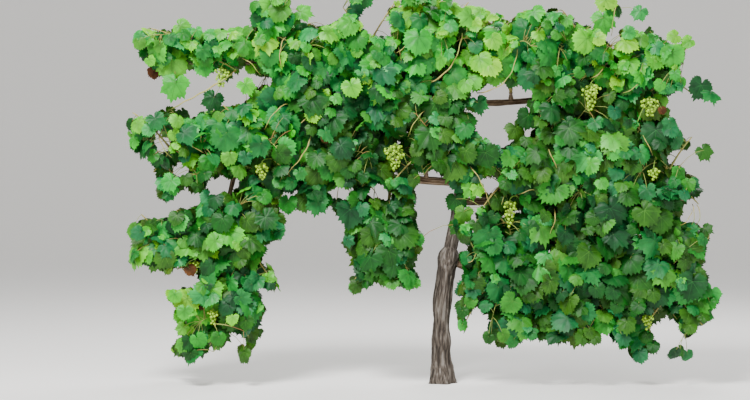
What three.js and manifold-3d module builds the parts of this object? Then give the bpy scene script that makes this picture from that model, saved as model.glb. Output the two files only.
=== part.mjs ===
// A grapevine trained flat on three levels: a short gnarled trunk, a leader that rises from its head,
// cordons that run left and right, and masses of leafy shoots that grow from spurs on them, with young
// bunches of grapes. Millimetres, +Z up, the front towards -Y. The origin is the middle of the flat cut at
// ground level.

import * as THREE from "three";
import { mergeVertices } from "three/addons/utils/BufferGeometryUtils.js";
import Module from "manifold-3d";

const wasm = await Module();
wasm.setup();

// Driving dimensions of the wood.
const TRUNK_HEIGHT = 600;
const TRUNK_LEAN = 38;
const TRUNK_RADIUS = 38;
const ROOT_FLARE = 22;
const FLARE_HEIGHT = 55;
const HEAD_SWELL = 9;
const ROOT_SINK = 12;
const LEADER_TOP = 1262;
const TOP_LEVEL = 1400;
const TOP_LEVEL_RIGHT = 1238;
const MIDDLE_LEVEL = 976;
const MIDDLE_LEVEL_RIGHT = 800;
const LOWER_LEVEL_RIGHT = 374;
const LEFT_REACH = -1205;
const RIGHT_REACH = 1065;
const SEAT_GAP = 0.3;

// Driving dimensions of the shoots, leaves and bunches.
const SPUR_RADIUS = 9;
const SPUR_STAND = 30;
const STEM_RADIUS = 9;
const SHORTEST_STEM = 68;
const SHOOT_RADIUS = 7;
const SHOOT_TIP_RADIUS = 5;
const SHOOT_SPACING = 13;
const CROWN_FRONT = -235;
const CROWN_BACK = 150;
const FRONT_LEAVES = -150;
const BACK_LEAVES = 62;
const LEAVES_SPREAD = 50;
const FORK_FRONT = -45;
const SHOOT_DEPTH = 75;
const SHOOT_SHAKE = 15;
const LEAF_SHARE = 9500;
const LEAF_WIDTH = 168;
const LEAF_THICKNESS = 5;
const LONGEST_STALK = 140;
const SHORTEST_STALK = 24;
const STALK_SHOWS = 75;
const STALK_SINK = 2;
const OVERHANG = 60;
const LIMB_CLEARANCE = 4;
const BUNCH_FRONT = -150;
const FINEST_EDGE = 0.12;

const UP = new THREE.Vector3(0, 0, 1);
const FRONT = new THREE.Vector3(0, -1, 0);
const BACK = new THREE.Vector3(0, 1, 0);

// A small seeded generator of numbers from 0 to 1, the same on every run.
function seeded(seed) {
  const MULTIPLIER = 48271;
  const MODULUS = 2147483647;
  let state = (seed * 7919 + 104729) % MODULUS;
  return () => {
    state = (state * MULTIPLIER) % MODULUS;
    return state / MODULUS;
  };
}

const mix = (a, b, t) => a + (b - a) * t;
const point = (x, y, z) => new THREE.Vector3(x, y, z);

// A closed three.js geometry as a solid that can be joined and cut.
function solidOf(geometry) {
  const bare = geometry.clone();
  bare.deleteAttribute("normal");
  bare.deleteAttribute("uv");
  const merged = mergeVertices(bare, 1e-4);
  return new wasm.Manifold(
    new wasm.Mesh({
      numProp: 3,
      vertProperties: merged.attributes.position.array,
      triVerts: new Uint32Array(merged.index.array),
    }),
  );
}

// A solid's largest piece, without loose scraps and sealed hollows, as a geometry.
function geometryOf(solid) {
  const whole = solid.decompose().reduce((a, b) => (b.volume() > a.volume() ? b : a));
  const mesh = whole.getMesh();
  const geometry = new THREE.BufferGeometry();
  geometry.setAttribute("position", new THREE.BufferAttribute(mesh.vertProperties, 3));
  geometry.setIndex(new THREE.BufferAttribute(mesh.triVerts, 1));
  return geometry;
}

// A cylinder bent along centre(t), with radius(t, angle) round it, for t from 0 to 1.
function limbSolid(centre, radius, sides, rings) {
  const geometry = new THREE.CylinderGeometry(1, 1, 1, sides, rings, false);
  const places = geometry.attributes.position;
  const STEP = 1e-3;
  for (let i = 0; i < places.count; i++) {
    const t = 0.5 - places.getY(i);
    const [x, z] = [places.getX(i), places.getZ(i)];
    const along = centre(Math.min(1, t + STEP)).sub(centre(Math.max(0, t - STEP))).normalize();
    const side = new THREE.Vector3().crossVectors(BACK, along).normalize();
    const across = new THREE.Vector3().crossVectors(along, side);
    const r = radius(t, Math.atan2(z, x));
    const place = centre(t).addScaledVector(side, x * r).addScaledVector(across, z * r);
    places.setXYZ(i, place.x, place.y, place.z);
  }
  return solidOf(geometry);
}

// A straight tapering twig from one point to another.
function twigSolid(from, to, fromRadius, toRadius, sides) {
  const along = to.clone().sub(from);
  const geometry = new THREE.CylinderGeometry(toRadius, fromRadius, along.length(), sides);
  const axis = new THREE.Vector3(0, 1, 0);
  const turn = new THREE.Quaternion().setFromUnitVectors(axis, along.clone().normalize());
  geometry.applyQuaternion(turn);
  const middle = from.clone().addScaledVector(along, 0.5);
  geometry.translate(middle.x, middle.y, middle.z);
  return solidOf(geometry);
}

// The route of a limb between two points. With a level above 1 it makes its rise or fall early and then
// runs level, bow bends it sideways along X, and sway is how far the old wood wanders from the line.
function route({ from, to, level = 1, bow = 0, sway = 7, phase = 0 }) {
  return (t) => {
    const bend = Math.sin(Math.PI * t);
    const wander = sway * Math.sin(9 * t + phase) * bend;
    return point(
      mix(from.x, to.x, t) + bow * bend,
      mix(from.y, to.y, t) + sway * Math.sin(7 * t + 2 * phase) * bend,
      mix(from.z, to.z, 1 - Math.pow(1 - t, level)) + wander,
    );
  };
}

// Old wood is a little uneven round its section and along its length.
const uneven = (t, angle) => 1 + 0.07 * Math.sin(2 * angle + 11 * t) + 0.05 * Math.sin(23 * t);

function trunkRadius(t, angle) {
  const flare = ROOT_FLARE * Math.exp((-t * TRUNK_HEIGHT) / FLARE_HEIGHT);
  const ribs = 1 + 0.12 * Math.cos(5 * angle) * Math.exp((-t * TRUNK_HEIGHT) / FLARE_HEIGHT);
  const head = HEAD_SWELL * Math.exp(-Math.pow((t - 0.93) / 0.07, 2));
  return (TRUNK_RADIUS * mix(1.04, 0.94, t) * uneven(t, angle) + flare + head) * ribs;
}

// The old wood, each limb in the order in which it grows from the one before.
const limbs = new Map();

function addLimb(name, { parent, fromRadius, toRadius, sides = 6, rings = 9, radius, ...path }) {
  const centre = route(path);
  const thickness = radius ?? ((t, angle) => mix(fromRadius, toRadius, t) * uneven(t, angle));
  limbs.set(name, { name, parent, centre, thickness, sides, rings, spurs: [] });
}

const onLimb = (name, t) => limbs.get(name).centre(t);

addLimb("trunk", {
  from: point(0, 0, -ROOT_SINK),
  to: point(TRUNK_LEAN, 6, TRUNK_HEIGHT),
  bow: -20,
  sway: 5,
  sides: 12,
  rings: 13,
  radius: trunkRadius,
});
addLimb("leader", {
  parent: "trunk",
  from: onLimb("trunk", 0.94),
  to: point(46, 14, LEADER_TOP),
  bow: 42,
  fromRadius: 27,
  toRadius: 19,
  rings: 10,
  phase: 1,
});
addLimb("top_left_cordon", {
  parent: "leader",
  from: onLimb("leader", 0.955),
  to: point(LEFT_REACH, 26, TOP_LEVEL),
  level: 3,
  fromRadius: 15,
  toRadius: 8,
  rings: 11,
  phase: 2,
});
addLimb("top_right_cordon", {
  parent: "leader",
  from: onLimb("leader", 0.93),
  to: point(RIGHT_REACH - 80, 22, TOP_LEVEL_RIGHT),
  level: 3,
  fromRadius: 15,
  toRadius: 8,
  phase: 3,
});
addLimb("middle_left_cordon", {
  parent: "leader",
  from: onLimb("leader", 0.45),
  to: point(LEFT_REACH, 30, MIDDLE_LEVEL),
  fromRadius: 17,
  toRadius: 8,
  rings: 12,
  phase: 4,
});
addLimb("middle_right_cordon", {
  parent: "leader",
  from: onLimb("leader", 0.33),
  to: point(RIGHT_REACH, 24, MIDDLE_LEVEL_RIGHT),
  fromRadius: 16,
  toRadius: 8,
  phase: 5,
});
addLimb("lower_right_cordon", {
  parent: "trunk",
  from: onLimb("trunk", 0.9),
  to: point(RIGHT_REACH, 20, LOWER_LEVEL_RIGHT),
  level: 3,
  fromRadius: 17,
  toRadius: 8,
  phase: 6,
});
addLimb("hanging_left_arm", {
  parent: "middle_left_cordon",
  from: onLimb("middle_left_cordon", 0.76),
  to: point(-990, -14, 452),
  bow: -10,
  fromRadius: 10,
  toRadius: 7,
  rings: 6,
  phase: 7,
});

// The masses of leafy shoots: the limb that feeds each, and its own space as left, right, bottom and top.
const MASSES = [
  { name: "top_leaves_1", limb: "top_left_cordon", space: [-1312, -850, 1345, 1562] },
  { name: "top_leaves_2", limb: "top_left_cordon", space: [-850, -486, 1235, 1674] },
  { name: "top_leaves_3", limb: "top_left_cordon", space: [-486, -163, 1245, 1690] },
  { name: "top_leaves_4", limb: "leader", space: [-163, 133, 1260, 1690] },
  { name: "top_leaves_5", limb: "top_right_cordon", space: [133, 452, 1277, 1618] },
  { name: "top_leaves_6", limb: "top_right_cordon", space: [452, 783, 1260, 1672] },
  { name: "top_leaves_7", limb: "top_right_cordon", space: [783, 1174, 1148, 1550] },
  { name: "middle_leaves_1", limb: "middle_left_cordon", space: [-1363, -980, 804, 1200] },
  { name: "middle_leaves_2", limb: "middle_left_cordon", space: [-980, -615, 838, 1235] },
  { name: "middle_leaves_3", limb: "middle_left_cordon", space: [-615, -249, 750, 1245] },
  { name: "middle_leaves_4", limb: "middle_left_cordon", space: [-249, 133, 847, 1260] },
  { name: "middle_leaves_5", limb: "middle_right_cordon", space: [133, 383, 731, 1066] },
  { name: "middle_leaves_6", limb: "middle_right_cordon", space: [383, 783, 731, 1260] },
  { name: "middle_leaves_7", limb: "middle_right_cordon", space: [783, 1165, 701, 1148] },
  { name: "lower_leaves_1", limb: "hanging_left_arm", space: [-1363, -1045, 404, 804] },
  { name: "lower_leaves_2", limb: "hanging_left_arm", space: [-1045, -680, 404, 838] },
  { name: "lower_leaves_3", limb: "hanging_left_arm", space: [-1170, -780, 112, 404] },
  { name: "lower_leaves_4", limb: "middle_left_cordon", space: [-421, -82, 408, 847] },
  { name: "lower_leaves_5", limb: "lower_right_cordon", space: [52, 374, 170, 731] },
  { name: "lower_leaves_6", limb: "lower_right_cordon", space: [374, 783, 170, 731] },
  { name: "lower_leaves_7", limb: "lower_right_cordon", space: [783, 1200, 100, 701] },
];

// The young bunches of grapes, by the middle of each one's top, with its length and width.
const BUNCHES = [
  { x: -958, z: 1370, length: 100, width: 62 },
  { x: -778, z: 962, length: 88, width: 56 },
  { x: -1066, z: 540, length: 62, width: 40 },
  { x: -989, z: 330, length: 78, width: 44 },
  { x: -206, z: 1040, length: 124, width: 88 },
  { x: 636, z: 1300, length: 128, width: 78 },
  { x: 890, z: 1240, length: 92, width: 80 },
  { x: 288, z: 800, length: 124, width: 54 },
  { x: 907, z: 940, length: 64, width: 54 },
  { x: 881, z: 310, length: 78, width: 54 },
];

// Places that no leaf closes, as upright ovals: the gaps in the crown, the notches in its top and the bays
// in its sides.
const OPEN_PLACES = [
  { x: 252, z: 1205, halfWidth: 88, halfHeight: 110 },
  { x: -47, z: 770, halfWidth: 62, halfHeight: 150 },
  { x: -720, z: 560, halfWidth: 45, halfHeight: 50 },
  { x: -955, z: 1238, halfWidth: 115, halfHeight: 40 },
  { x: -945, z: 862, halfWidth: 70, halfHeight: 40 },
  { x: -537, z: 1640, halfWidth: 110, halfHeight: 90 },
  { x: -296, z: 1610, halfWidth: 55, halfHeight: 55 },
  { x: 600, z: 1630, halfWidth: 90, halfHeight: 70 },
  { x: 1080, z: 1570, halfWidth: 160, halfHeight: 95 },
  { x: 1150, z: 1365, halfWidth: 95, halfHeight: 80 },
  { x: 1140, z: 1130, halfWidth: 90, halfHeight: 70 },
  { x: 1140, z: 930, halfWidth: 60, halfHeight: 40 },
  { x: 1180, z: 840, halfWidth: 50, halfHeight: 100 },
  { x: 963, z: 228, halfWidth: 55, halfHeight: 52 },
  { x: 1150, z: 180, halfWidth: 80, halfHeight: 80 },
  { x: -1265, z: 1225, halfWidth: 50, halfHeight: 60 },
  { x: -1335, z: 870, halfWidth: 80, halfHeight: 90 },
  { x: -1290, z: 420, halfWidth: 100, halfHeight: 80 },
];

const inside = ([left, right, bottom, top], p, spare = 0) =>
  p.x > left - spare && p.x < right + spare && p.z > bottom - spare && p.z < top + spare;
const inOpenPlace = (p) =>
  OPEN_PLACES.some(
    ({ x, z, halfWidth, halfHeight }) => Math.hypot((p.x - x) / halfWidth, (p.z - z) / halfHeight) < 1,
  );
const inCrown = (p) =>
  p.y > CROWN_FRONT && p.y < CROWN_BACK && !inOpenPlace(p) && MASSES.some((mass) => inside(mass.space, p));

// Each mass forks in the middle of its space, from a stem that meets a spur on its limb.
function placeFork(mass) {
  const [left, right, bottom, top] = mass.space;
  const limb = limbs.get(mass.limb);
  const goal = point((left + right) / 2, FORK_FRONT, (bottom + top) / 2);
  const STEPS = 60;
  let base = limb.centre(0);
  let at = 0;
  for (let i = 1; i < STEPS; i++) {
    const place = limb.centre(i / STEPS);
    if (place.distanceTo(goal) < base.distanceTo(goal)) {
      base = place;
      at = i / STEPS;
    }
  }
  const out = goal.clone().sub(base);
  const stand = limb.thickness(at, 0) + SPUR_STAND;
  const reach = Math.max(out.length(), stand + SHORTEST_STEM);
  out.normalize();
  mass.fork = base.clone().addScaledVector(out, reach);
  mass.foot = base.clone().addScaledVector(out, stand + SEAT_GAP);
  mass.out = out;
  limb.spurs.push({ from: base, to: base.clone().addScaledVector(out, stand) });
}
MASSES.forEach(placeFork);

// Points down the middle of all the old wood, with the radius there, to keep shoots and leaves off it.
const wood = [];
for (const limb of limbs.values()) {
  const STEPS = 160;
  for (let i = 0; i <= STEPS; i++) wood.push([limb.centre(i / STEPS), limb.thickness(i / STEPS, 0) * 1.12]);
  for (const { from, to } of limb.spurs)
    for (const t of [0.4, 0.7, 1]) wood.push([from.clone().lerp(to, t), SPUR_RADIUS]);
}
const clearance = (p) => Math.min(...wood.map(([middle, radius]) => middle.distanceTo(p) - radius));

// Shoots leave a mass's stem one after another, from its fork downwards: one towards each corner of its
// space and one out of the front. Each rises first and then leans outwards from a bend halfway, and is a
// function of t from 0 to 1. Where a limb is in its way it passes in front instead.
function shootsOf(mass, index) {
  const random = seeded(index + 1);
  const [left, right, bottom, top] = mass.space;
  const aims = [
    [-1, 1, -1],
    [1, 1, 0.6],
    [1, -1, -1],
    [-1, -1, 0.7],
    [0.1, 0.15, -1.5],
  ];
  const IN_FRONT = -1.2;
  const kept = [];
  for (const [sideways, upwards, depth] of aims) {
    const start = mass.fork.clone().addScaledVector(mass.out, -SHOOT_SPACING * kept.length);
    const towards = (deep) => {
      const spread = mix(0.32, 0.41, random());
      const shake = () => mix(-SHOOT_SHAKE, SHOOT_SHAKE, random());
      const end = point(
        (left + right) / 2 + sideways * spread * (right - left) + shake(),
        mass.fork.y + SHOOT_DEPTH * deep + shake(),
        (bottom + top) / 2 + upwards * spread * (top - bottom) + shake(),
      );
      const bend = start.clone().lerp(end, 0.5).addScaledVector(UP, mix(5, 18, random()));
      return (t) => (t < 0.5 ? start.clone().lerp(bend, 2 * t) : bend.clone().lerp(end, 2 * t - 1));
    };
    const free = (shoot) =>
      [0.25, 0.35, 0.45, 0.5, 0.55, 0.65, 0.75, 0.85, 0.95, 1].every(
        (t) => clearance(shoot(t)) > SHOOT_RADIUS + LIMB_CLEARANCE,
      );
    const found = [depth, IN_FRONT].map(towards).find(free);
    if (found) kept.push(found);
  }
  return kept;
}

// The stem and the shoots of a mass, with the root of each shoot in the middle of the stem.
function shootSolids(mass) {
  const SIDES = 3;
  const SEGMENTS = 2;
  const tip = mass.fork.clone().addScaledVector(mass.out, STEM_RADIUS);
  const parts = [twigSolid(mass.foot, tip, STEM_RADIUS, STEM_RADIUS * 0.9, 5)];
  for (const shoot of mass.shoots) {
    const radius = (t) => mix(SHOOT_RADIUS, SHOOT_TIP_RADIUS, t);
    parts.push(limbSolid(shoot, radius, SIDES, SEGMENTS));
  }
  return parts;
}

// Half of a leaf's outline as seen from above with its tip up, in widths of the leaf: the neck beside the
// stalk, the lobe at the base and the side lobe. The stalk's end comes before them, and the tip after them.
const NECK = [0.04, -0.01, 0];
const LOBES = [
  [0.36, -0.13, -0.02],
  [0.52, 0.34, -0.05],
];
const TIP = [0, 0.82, -0.08];
const CROWN = [0, 0.1, 0.05];

// The corners of a leaf without its stalk's end. Where the stalk is short the blade hides it, and there is
// no neck.
function leafCorners({ joint, stalkEnd, across, along, face }, width) {
  const half = joint.distanceTo(stalkEnd) > STALK_SHOWS ? [NECK, ...LOBES] : LOBES;
  const outline = [...half, TIP, ...half.map(([a, b, c]) => [-a, b, c]).reverse()];
  return outline.map(([a, b, c]) =>
    joint.clone()
      .addScaledVector(across, a * width)
      .addScaledVector(along, b * width)
      .addScaledVector(face, c * width),
  );
}

// A thin closed leaf with its stalk, from a sphere whose equator is the outline and whose poles are its two
// faces.
function leafSolid(pose, width, thickness) {
  const corners = [pose.stalkEnd, ...leafCorners(pose, width)];
  const count = corners.length;
  const geometry = new THREE.SphereGeometry(1, count, 2);
  const places = geometry.attributes.position;
  const [, crownAlong, crownRise] = CROWN;
  for (let i = 0; i < places.count; i++) {
    const row = Math.floor(i / (count + 1));
    const lift = (1 - row) * (thickness / 2);
    const middle = pose.joint.clone().addScaledVector(pose.along, crownAlong * width)
      .addScaledVector(pose.face, crownRise * width + lift);
    const place = row === 1 ? corners[(i % (count + 1)) % count] : middle;
    places.setXYZ(i, place.x, place.y, place.z);
  }
  return solidOf(geometry);
}

// The nearest place to p on a mass's shoots, beyond the crowded middle of the fork.
function nearestOnShoots(shoots, p) {
  const STEPS = 14;
  let best = { distance: Infinity };
  for (const shoot of shoots)
    for (let i = 2; i <= STEPS; i++) {
      const place = shoot((i / STEPS) * 0.97);
      const distance = place.distanceTo(p);
      if (distance < best.distance) best = { place, distance };
    }
  return best;
}

// A leaf at p leans away from its shoot and hangs tip down, with its face to the light outside the crown.
function leafPose(p, shoot, outward, random) {
  const away = p.clone().sub(shoot.place).normalize();
  const along = away.clone().multiplyScalar(0.8).addScaledVector(UP, -0.6);
  const stray = point(mix(-0.45, 0.45, random()), mix(-0.2, 0.2, random()), mix(-0.15, 0.15, random()));
  along.add(stray).normalize();
  const face = outward.clone().addScaledVector(UP, mix(0.25, 0.75, random()));
  face.x += mix(-0.45, 0.45, random());
  face.addScaledVector(along, -face.dot(along)).normalize();
  return {
    joint: p,
    stalkEnd: shoot.place.clone().addScaledVector(away, -STALK_SINK),
    across: new THREE.Vector3().crossVectors(along, face),
    along,
    face,
  };
}

// Places spread over a leaf's blade and down its stalk.
function leafSpots(pose, width) {
  const corners = leafCorners(pose, width);
  const edges = corners.map((corner, i) => corner.clone().lerp(corners[(i + 1) % corners.length], 0.5));
  const middles = corners.map((corner) => corner.clone().lerp(pose.joint, 0.5));
  const stalk = [0.35, 0.7].map((t) => pose.joint.clone().lerp(pose.stalkEnd, t));
  return [...corners, ...edges, ...middles, ...stalk];
}

// A leaf fits when its blade stays in the crown, near its own space, off the wood and clear of the other
// masses.
function leafFits(mass, { pose, width, spots }, others) {
  if (!spots.every((p) => inCrown(p) && inside(mass.space, p, OVERHANG))) return false;
  if (!spots.every((p) => clearance(p) > LIMB_CLEARANCE)) return false;
  if (BUNCHES.some((bunch) => spots.some((p) => nearBunch(bunch, p)))) return false;
  const room = leafSolid(pose, width * 1.02, LEAF_THICKNESS * 2.2);
  return others.every((other) => other.intersect(room).isEmpty());
}

// How many leaves cover each cell of a coarse grid across the front of the crown. A leaf gains most where
// none do.
const cover = new Map();
const cellsOf = (spots) => {
  const CELL = 36;
  return new Set(spots.map((p) => `${Math.round(p.x / CELL)} ${Math.round(p.z / CELL)}`));
};
function gainOf(spots) {
  let gain = 0;
  for (const cell of cellsOf(spots)) gain += Math.pow(0.2, cover.get(cell) ?? 0);
  return gain;
}

// Leaves go one by one to the front and the back of a mass. Each takes the place that fits and covers the
// most, out of a handful of random ones.
function leafSolids(mass, index, others) {
  const TRIES = 70;
  const EDGE = 20;
  const layers = [
    { y: FRONT_LEAVES, outward: FRONT },
    { y: BACK_LEAVES, outward: BACK },
  ];
  const random = seeded(index + 101);
  const [left, right, bottom, top] = mass.space;
  const wanted = Math.round(((right - left) * (top - bottom)) / LEAF_SHARE);
  const leaves = [];
  for (let i = 0; i < wanted; i++) {
    const { y, outward } = layers[i % layers.length];
    const choices = [];
    for (let attempt = 0; attempt < TRIES; attempt++) {
      const joint = point(
        mix(left - EDGE, right + EDGE, random()),
        y + mix(-LEAVES_SPREAD, LEAVES_SPREAD, random()),
        mix(bottom + EDGE, top, random()),
      );
      const shoot = nearestOnShoots(mass.shoots, joint);
      const pose = leafPose(joint, shoot, outward, random);
      const width = LEAF_WIDTH * mix(0.82, 1.08, random());
      if (shoot.distance < SHORTEST_STALK || shoot.distance > LONGEST_STALK) continue;
      const spots = leafSpots(pose, width);
      choices.push({ pose, width, spots, gain: gainOf(spots) });
    }
    choices.sort((a, b) => b.gain - a.gain);
    const best = choices.find((choice) => leafFits(mass, choice, [...others, ...leaves]));
    if (!best) continue;
    for (const cell of cellsOf(best.spots)) cover.set(cell, (cover.get(cell) ?? 0) + 1);
    leaves.push(leafSolid(best.pose, best.width, LEAF_THICKNESS));
  }
  return leaves;
}

// A bunch is a knobbly cone, wide near its top, on a stalk from the nearest shoot.
const bunchTop = ({ x, z }) => point(x, BUNCH_FRONT, z);
function nearBunch(bunch, p) {
  const middle = bunchTop(bunch).addScaledVector(UP, -bunch.length / 2);
  return Math.hypot(p.x - middle.x, p.y - middle.y) < bunch.width * 0.75 &&
    Math.abs(p.z - middle.z) < bunch.length * 0.6;
}
function bunchSolids(bunch, shoots) {
  const SIDES = 6;
  const ROWS = 5;
  const geometry = new THREE.SphereGeometry(1, SIDES, ROWS);
  const places = geometry.attributes.position;
  const top = bunchTop(bunch);
  for (let i = 0; i < places.count; i++) {
    const down = (1 - places.getY(i)) / 2;
    const row = Math.floor(i / (SIDES + 1));
    const knob = (i % (SIDES + 1)) % SIDES % 2 === row % 2 ? 1.14 : 0.88;
    const swell = (bunch.width / 2) * mix(1.1, 0.75, down) * knob;
    places.setXYZ(
      i,
      top.x + places.getX(i) * swell,
      top.y + places.getZ(i) * swell * -1,
      top.z - down * bunch.length,
    );
  }
  const shoot = nearestOnShoots(shoots, top);
  const neck = top.clone().addScaledVector(UP, -0.2 * bunch.length);
  return [solidOf(geometry), twigSolid(shoot.place, neck, 3.2, 3.2, 3)];
}

// Each bunch hangs from the mass whose space is nearest to its top.
function ownerOf(bunch) {
  const p = bunchTop(bunch);
  const distance = ({ space: [left, right, bottom, top] }) =>
    Math.max(left - p.x, p.x - right, bottom - p.z, p.z - top);
  return MASSES.reduce((a, b) => (distance(b) < distance(a) ? b : a));
}
for (const mass of MASSES) mass.bunches = BUNCHES.filter((bunch) => ownerOf(bunch) === mass);

const bark = new THREE.MeshStandardMaterial({ color: 0x5d5148, roughness: 0.95, metalness: 0 });
const youngWood = new THREE.MeshStandardMaterial({ color: 0x7a6248, roughness: 0.85, metalness: 0 });
const leafGreens = [0x4f9a45, 0x3f8b47, 0x35793f].map(
  (color) => new THREE.MeshStandardMaterial({ color, roughness: 0.55, metalness: 0 }),
);

// What is cut away under the trunk, for the flat face at ground level.
function groundBlock() {
  const SIDE = 400;
  const block = new THREE.BoxGeometry(SIDE, SIDE, SIDE);
  block.translate(0, 0, -SIDE / 2);
  return solidOf(block);
}

const vine = new THREE.Group();
function addMesh(name, solid, material) {
  const mesh = new THREE.Mesh(geometryOf(solid), material);
  mesh.name = name;
  vine.add(mesh);
}

// The wood: each limb starts inside its parent, and is cut back to sit on it with a fine gap.
const woodSolids = [];
for (const limb of limbs.values()) {
  let solid = limbSolid(limb.centre, limb.thickness, limb.sides, limb.rings);
  for (const { from, to } of limb.spurs) {
    solid = solid.add(twigSolid(from, to, SPUR_RADIUS, SPUR_RADIUS * 0.9, 5));
  }
  const parent = limbs.get(limb.parent);
  if (limb.name === "trunk") solid = solid.subtract(groundBlock());
  if (parent) {
    const seat = (t, angle) => parent.thickness(t, angle) + SEAT_GAP;
    solid = solid.subtract(limbSolid(parent.centre, seat, parent.sides, parent.rings));
  }
  woodSolids.push(solid);
  addMesh(limb.name, solid, limb.name === "trunk" || limb.name === "leader" ? bark : youngWood);
}

// The masses: first each mass's shoots and bunches, and then the leaves, clear of everything else that is
// there.
MASSES.forEach((mass, index) => {
  mass.shoots = shootsOf(mass, index);
  const bunches = mass.bunches.flatMap((bunch) => bunchSolids(bunch, mass.shoots));
  mass.solid = wasm.Manifold.union([...shootSolids(mass), ...bunches]);
});
MASSES.forEach((mass, index) => {
  const others = [...woodSolids, ...MASSES.filter((other) => other !== mass).map((other) => other.solid)];
  const leaves = leafSolids(mass, index, others);
  mass.solid = wasm.Manifold.union([mass.solid, ...leaves]).simplify(FINEST_EDGE);
  const tier = mass.name.startsWith("top") ? 0 : mass.name.startsWith("middle") ? 1 : 2;
  addMesh(mass.name, mass.solid, leafGreens[tier]);
});

export default vine;
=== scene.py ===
# %% [markdown]
# # A trained grapevine, dressed around its solids
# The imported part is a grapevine: a short trunk, a leader, level cordons and masses of leaves. This file
# hides each plain solid and puts a finished mesh in its place. It works in metres, with +Z up and the front
# towards -Y.

import itertools
import math

import bmesh
import bpy
import numpy as np
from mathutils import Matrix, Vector, noise


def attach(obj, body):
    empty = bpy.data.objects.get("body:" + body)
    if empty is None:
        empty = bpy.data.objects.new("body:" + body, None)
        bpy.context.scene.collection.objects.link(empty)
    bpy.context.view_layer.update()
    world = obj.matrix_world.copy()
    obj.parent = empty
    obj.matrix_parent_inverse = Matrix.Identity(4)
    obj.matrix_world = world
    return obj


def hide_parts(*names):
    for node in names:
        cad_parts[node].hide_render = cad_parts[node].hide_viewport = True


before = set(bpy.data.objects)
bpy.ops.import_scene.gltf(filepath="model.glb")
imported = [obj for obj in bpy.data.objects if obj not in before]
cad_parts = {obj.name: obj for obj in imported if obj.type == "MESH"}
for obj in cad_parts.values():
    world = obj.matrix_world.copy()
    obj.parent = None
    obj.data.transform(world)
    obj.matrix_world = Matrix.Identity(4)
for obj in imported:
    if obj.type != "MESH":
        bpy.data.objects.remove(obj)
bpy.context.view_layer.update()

# %% [markdown]
# ## The camera
# The vine was seen straight on, from about the middle of its height. A long lens from six metres keeps the
# cordons level. The frame is 3.2 m wide at the front of the leaves, so the vine fills it as it does in the
# view.

# %% Camera
FRAME_WIDTH = 3.225
FRAME_MIDDLE = Vector((-0.292, -0.08, 0.796))
DISTANCE = 6.0
SENSOR = 36.0


def add_object(name, data):
    """Puts a mesh, a light or a camera into the scene."""
    thing = bpy.data.objects.new(name, data)
    bpy.context.scene.collection.objects.link(thing)
    return thing


camera_data = bpy.data.cameras.new("front_camera")
camera_data.sensor_width = SENSOR
camera_data.lens = SENSOR * DISTANCE / FRAME_WIDTH
camera_data.clip_end = 60
camera = add_object("front_camera", camera_data)
camera.location = FRAME_MIDDLE + Vector((0, -DISTANCE, 0))
camera.rotation_euler = (math.pi / 2, 0, 0)
bpy.context.scene.camera = camera
print("lens", round(camera_data.lens, 1), "mm")

# %% [markdown]
# ## Helpers for materials
# Every finish below is a Principled shader with a few nodes in front of it. A few small functions add and
# link them, so that each material reads as a short list.

# %% Material helpers
def add_node(tree, kind, **settings):
    """Adds a node. A setting named like an input sets it, or links a socket to it. Others set the node."""
    node = tree.nodes.new(kind)
    for name, value in settings.items():
        label = name.replace("_", " ")
        if isinstance(value, bpy.types.NodeSocket):
            tree.links.new(value, node.inputs[label])
        elif label in node.inputs:
            node.inputs[label].default_value = value
        else:
            setattr(node, name, value)
    return node


def new_material(name, roughness, specular=0.5):
    """A material, its node tree and its Principled shader."""
    material = bpy.data.materials.new(name)
    material.use_nodes = True
    shader = material.node_tree.nodes["Principled BSDF"]
    shader.inputs["Roughness"].default_value = roughness
    shader.inputs["Specular IOR Level"].default_value = specular
    return material, material.node_tree, shader


def object_place(tree):
    return tree.nodes.new("ShaderNodeTexCoord").outputs["Object"]


def plain_noise(tree, place, **settings):
    """Noise read at a place, as a number from 0 to 1."""
    return add_node(tree, "ShaderNodeTexNoise", Vector=place, **settings).outputs["Fac"]


def attribute(tree, name, output="Fac"):
    return add_node(tree, "ShaderNodeAttribute", attribute_name=name).outputs[output]


def ranged(tree, value, **ends):
    """A number brought from one range to another. An end that isn't given is 0 or 1."""
    return add_node(tree, "ShaderNodeMapRange", Value=value, **ends).outputs["Result"]


def ramp(tree, factor, stops):
    """A colour ramp through (position, colour) stops."""
    node = tree.nodes.new("ShaderNodeValToRGB")
    elements = node.color_ramp.elements
    while len(elements) < len(stops):
        elements.new(0.5)
    for element, (position, colour) in zip(elements, stops):
        element.position = position
        element.color = (*colour, 1)
    tree.links.new(factor, node.inputs["Fac"])
    return node.outputs["Color"]


def blend(tree, factor, a, b, kind="MIX"):
    """Mixes or multiplies two colours, each a socket or four numbers, by a socket or one number."""
    both = add_node(tree, "ShaderNodeMix", data_type="RGBA", blend_type=kind, Factor=factor, A=a, B=b)
    return both.outputs["Result"]


def set_surface(tree, shader, colour, height, strength, depth):
    """Gives a shader its colour, and relief of some depth in metres from a height."""
    bump = add_node(tree, "ShaderNodeBump", Height=height, Strength=strength, Distance=depth)
    tree.links.new(colour, shader.inputs["Base Color"])
    tree.links.new(bump.outputs["Normal"], shader.inputs["Normal"])


# %% [markdown]
# ## Old bark
# The bark of a vine is fibrous. It splits into long grey strips that run with the stem, with brown in the
# cracks between them. Each limb carries an attribute named grain, with its third number along the limb
# shrunk, so that plain noise read through it comes out as long fibres. One node group turns it into a
# colour mask and a height.

# %% Group: fibres along a limb
FINER = 4.3
FINE_SHARE = 0.35


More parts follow.
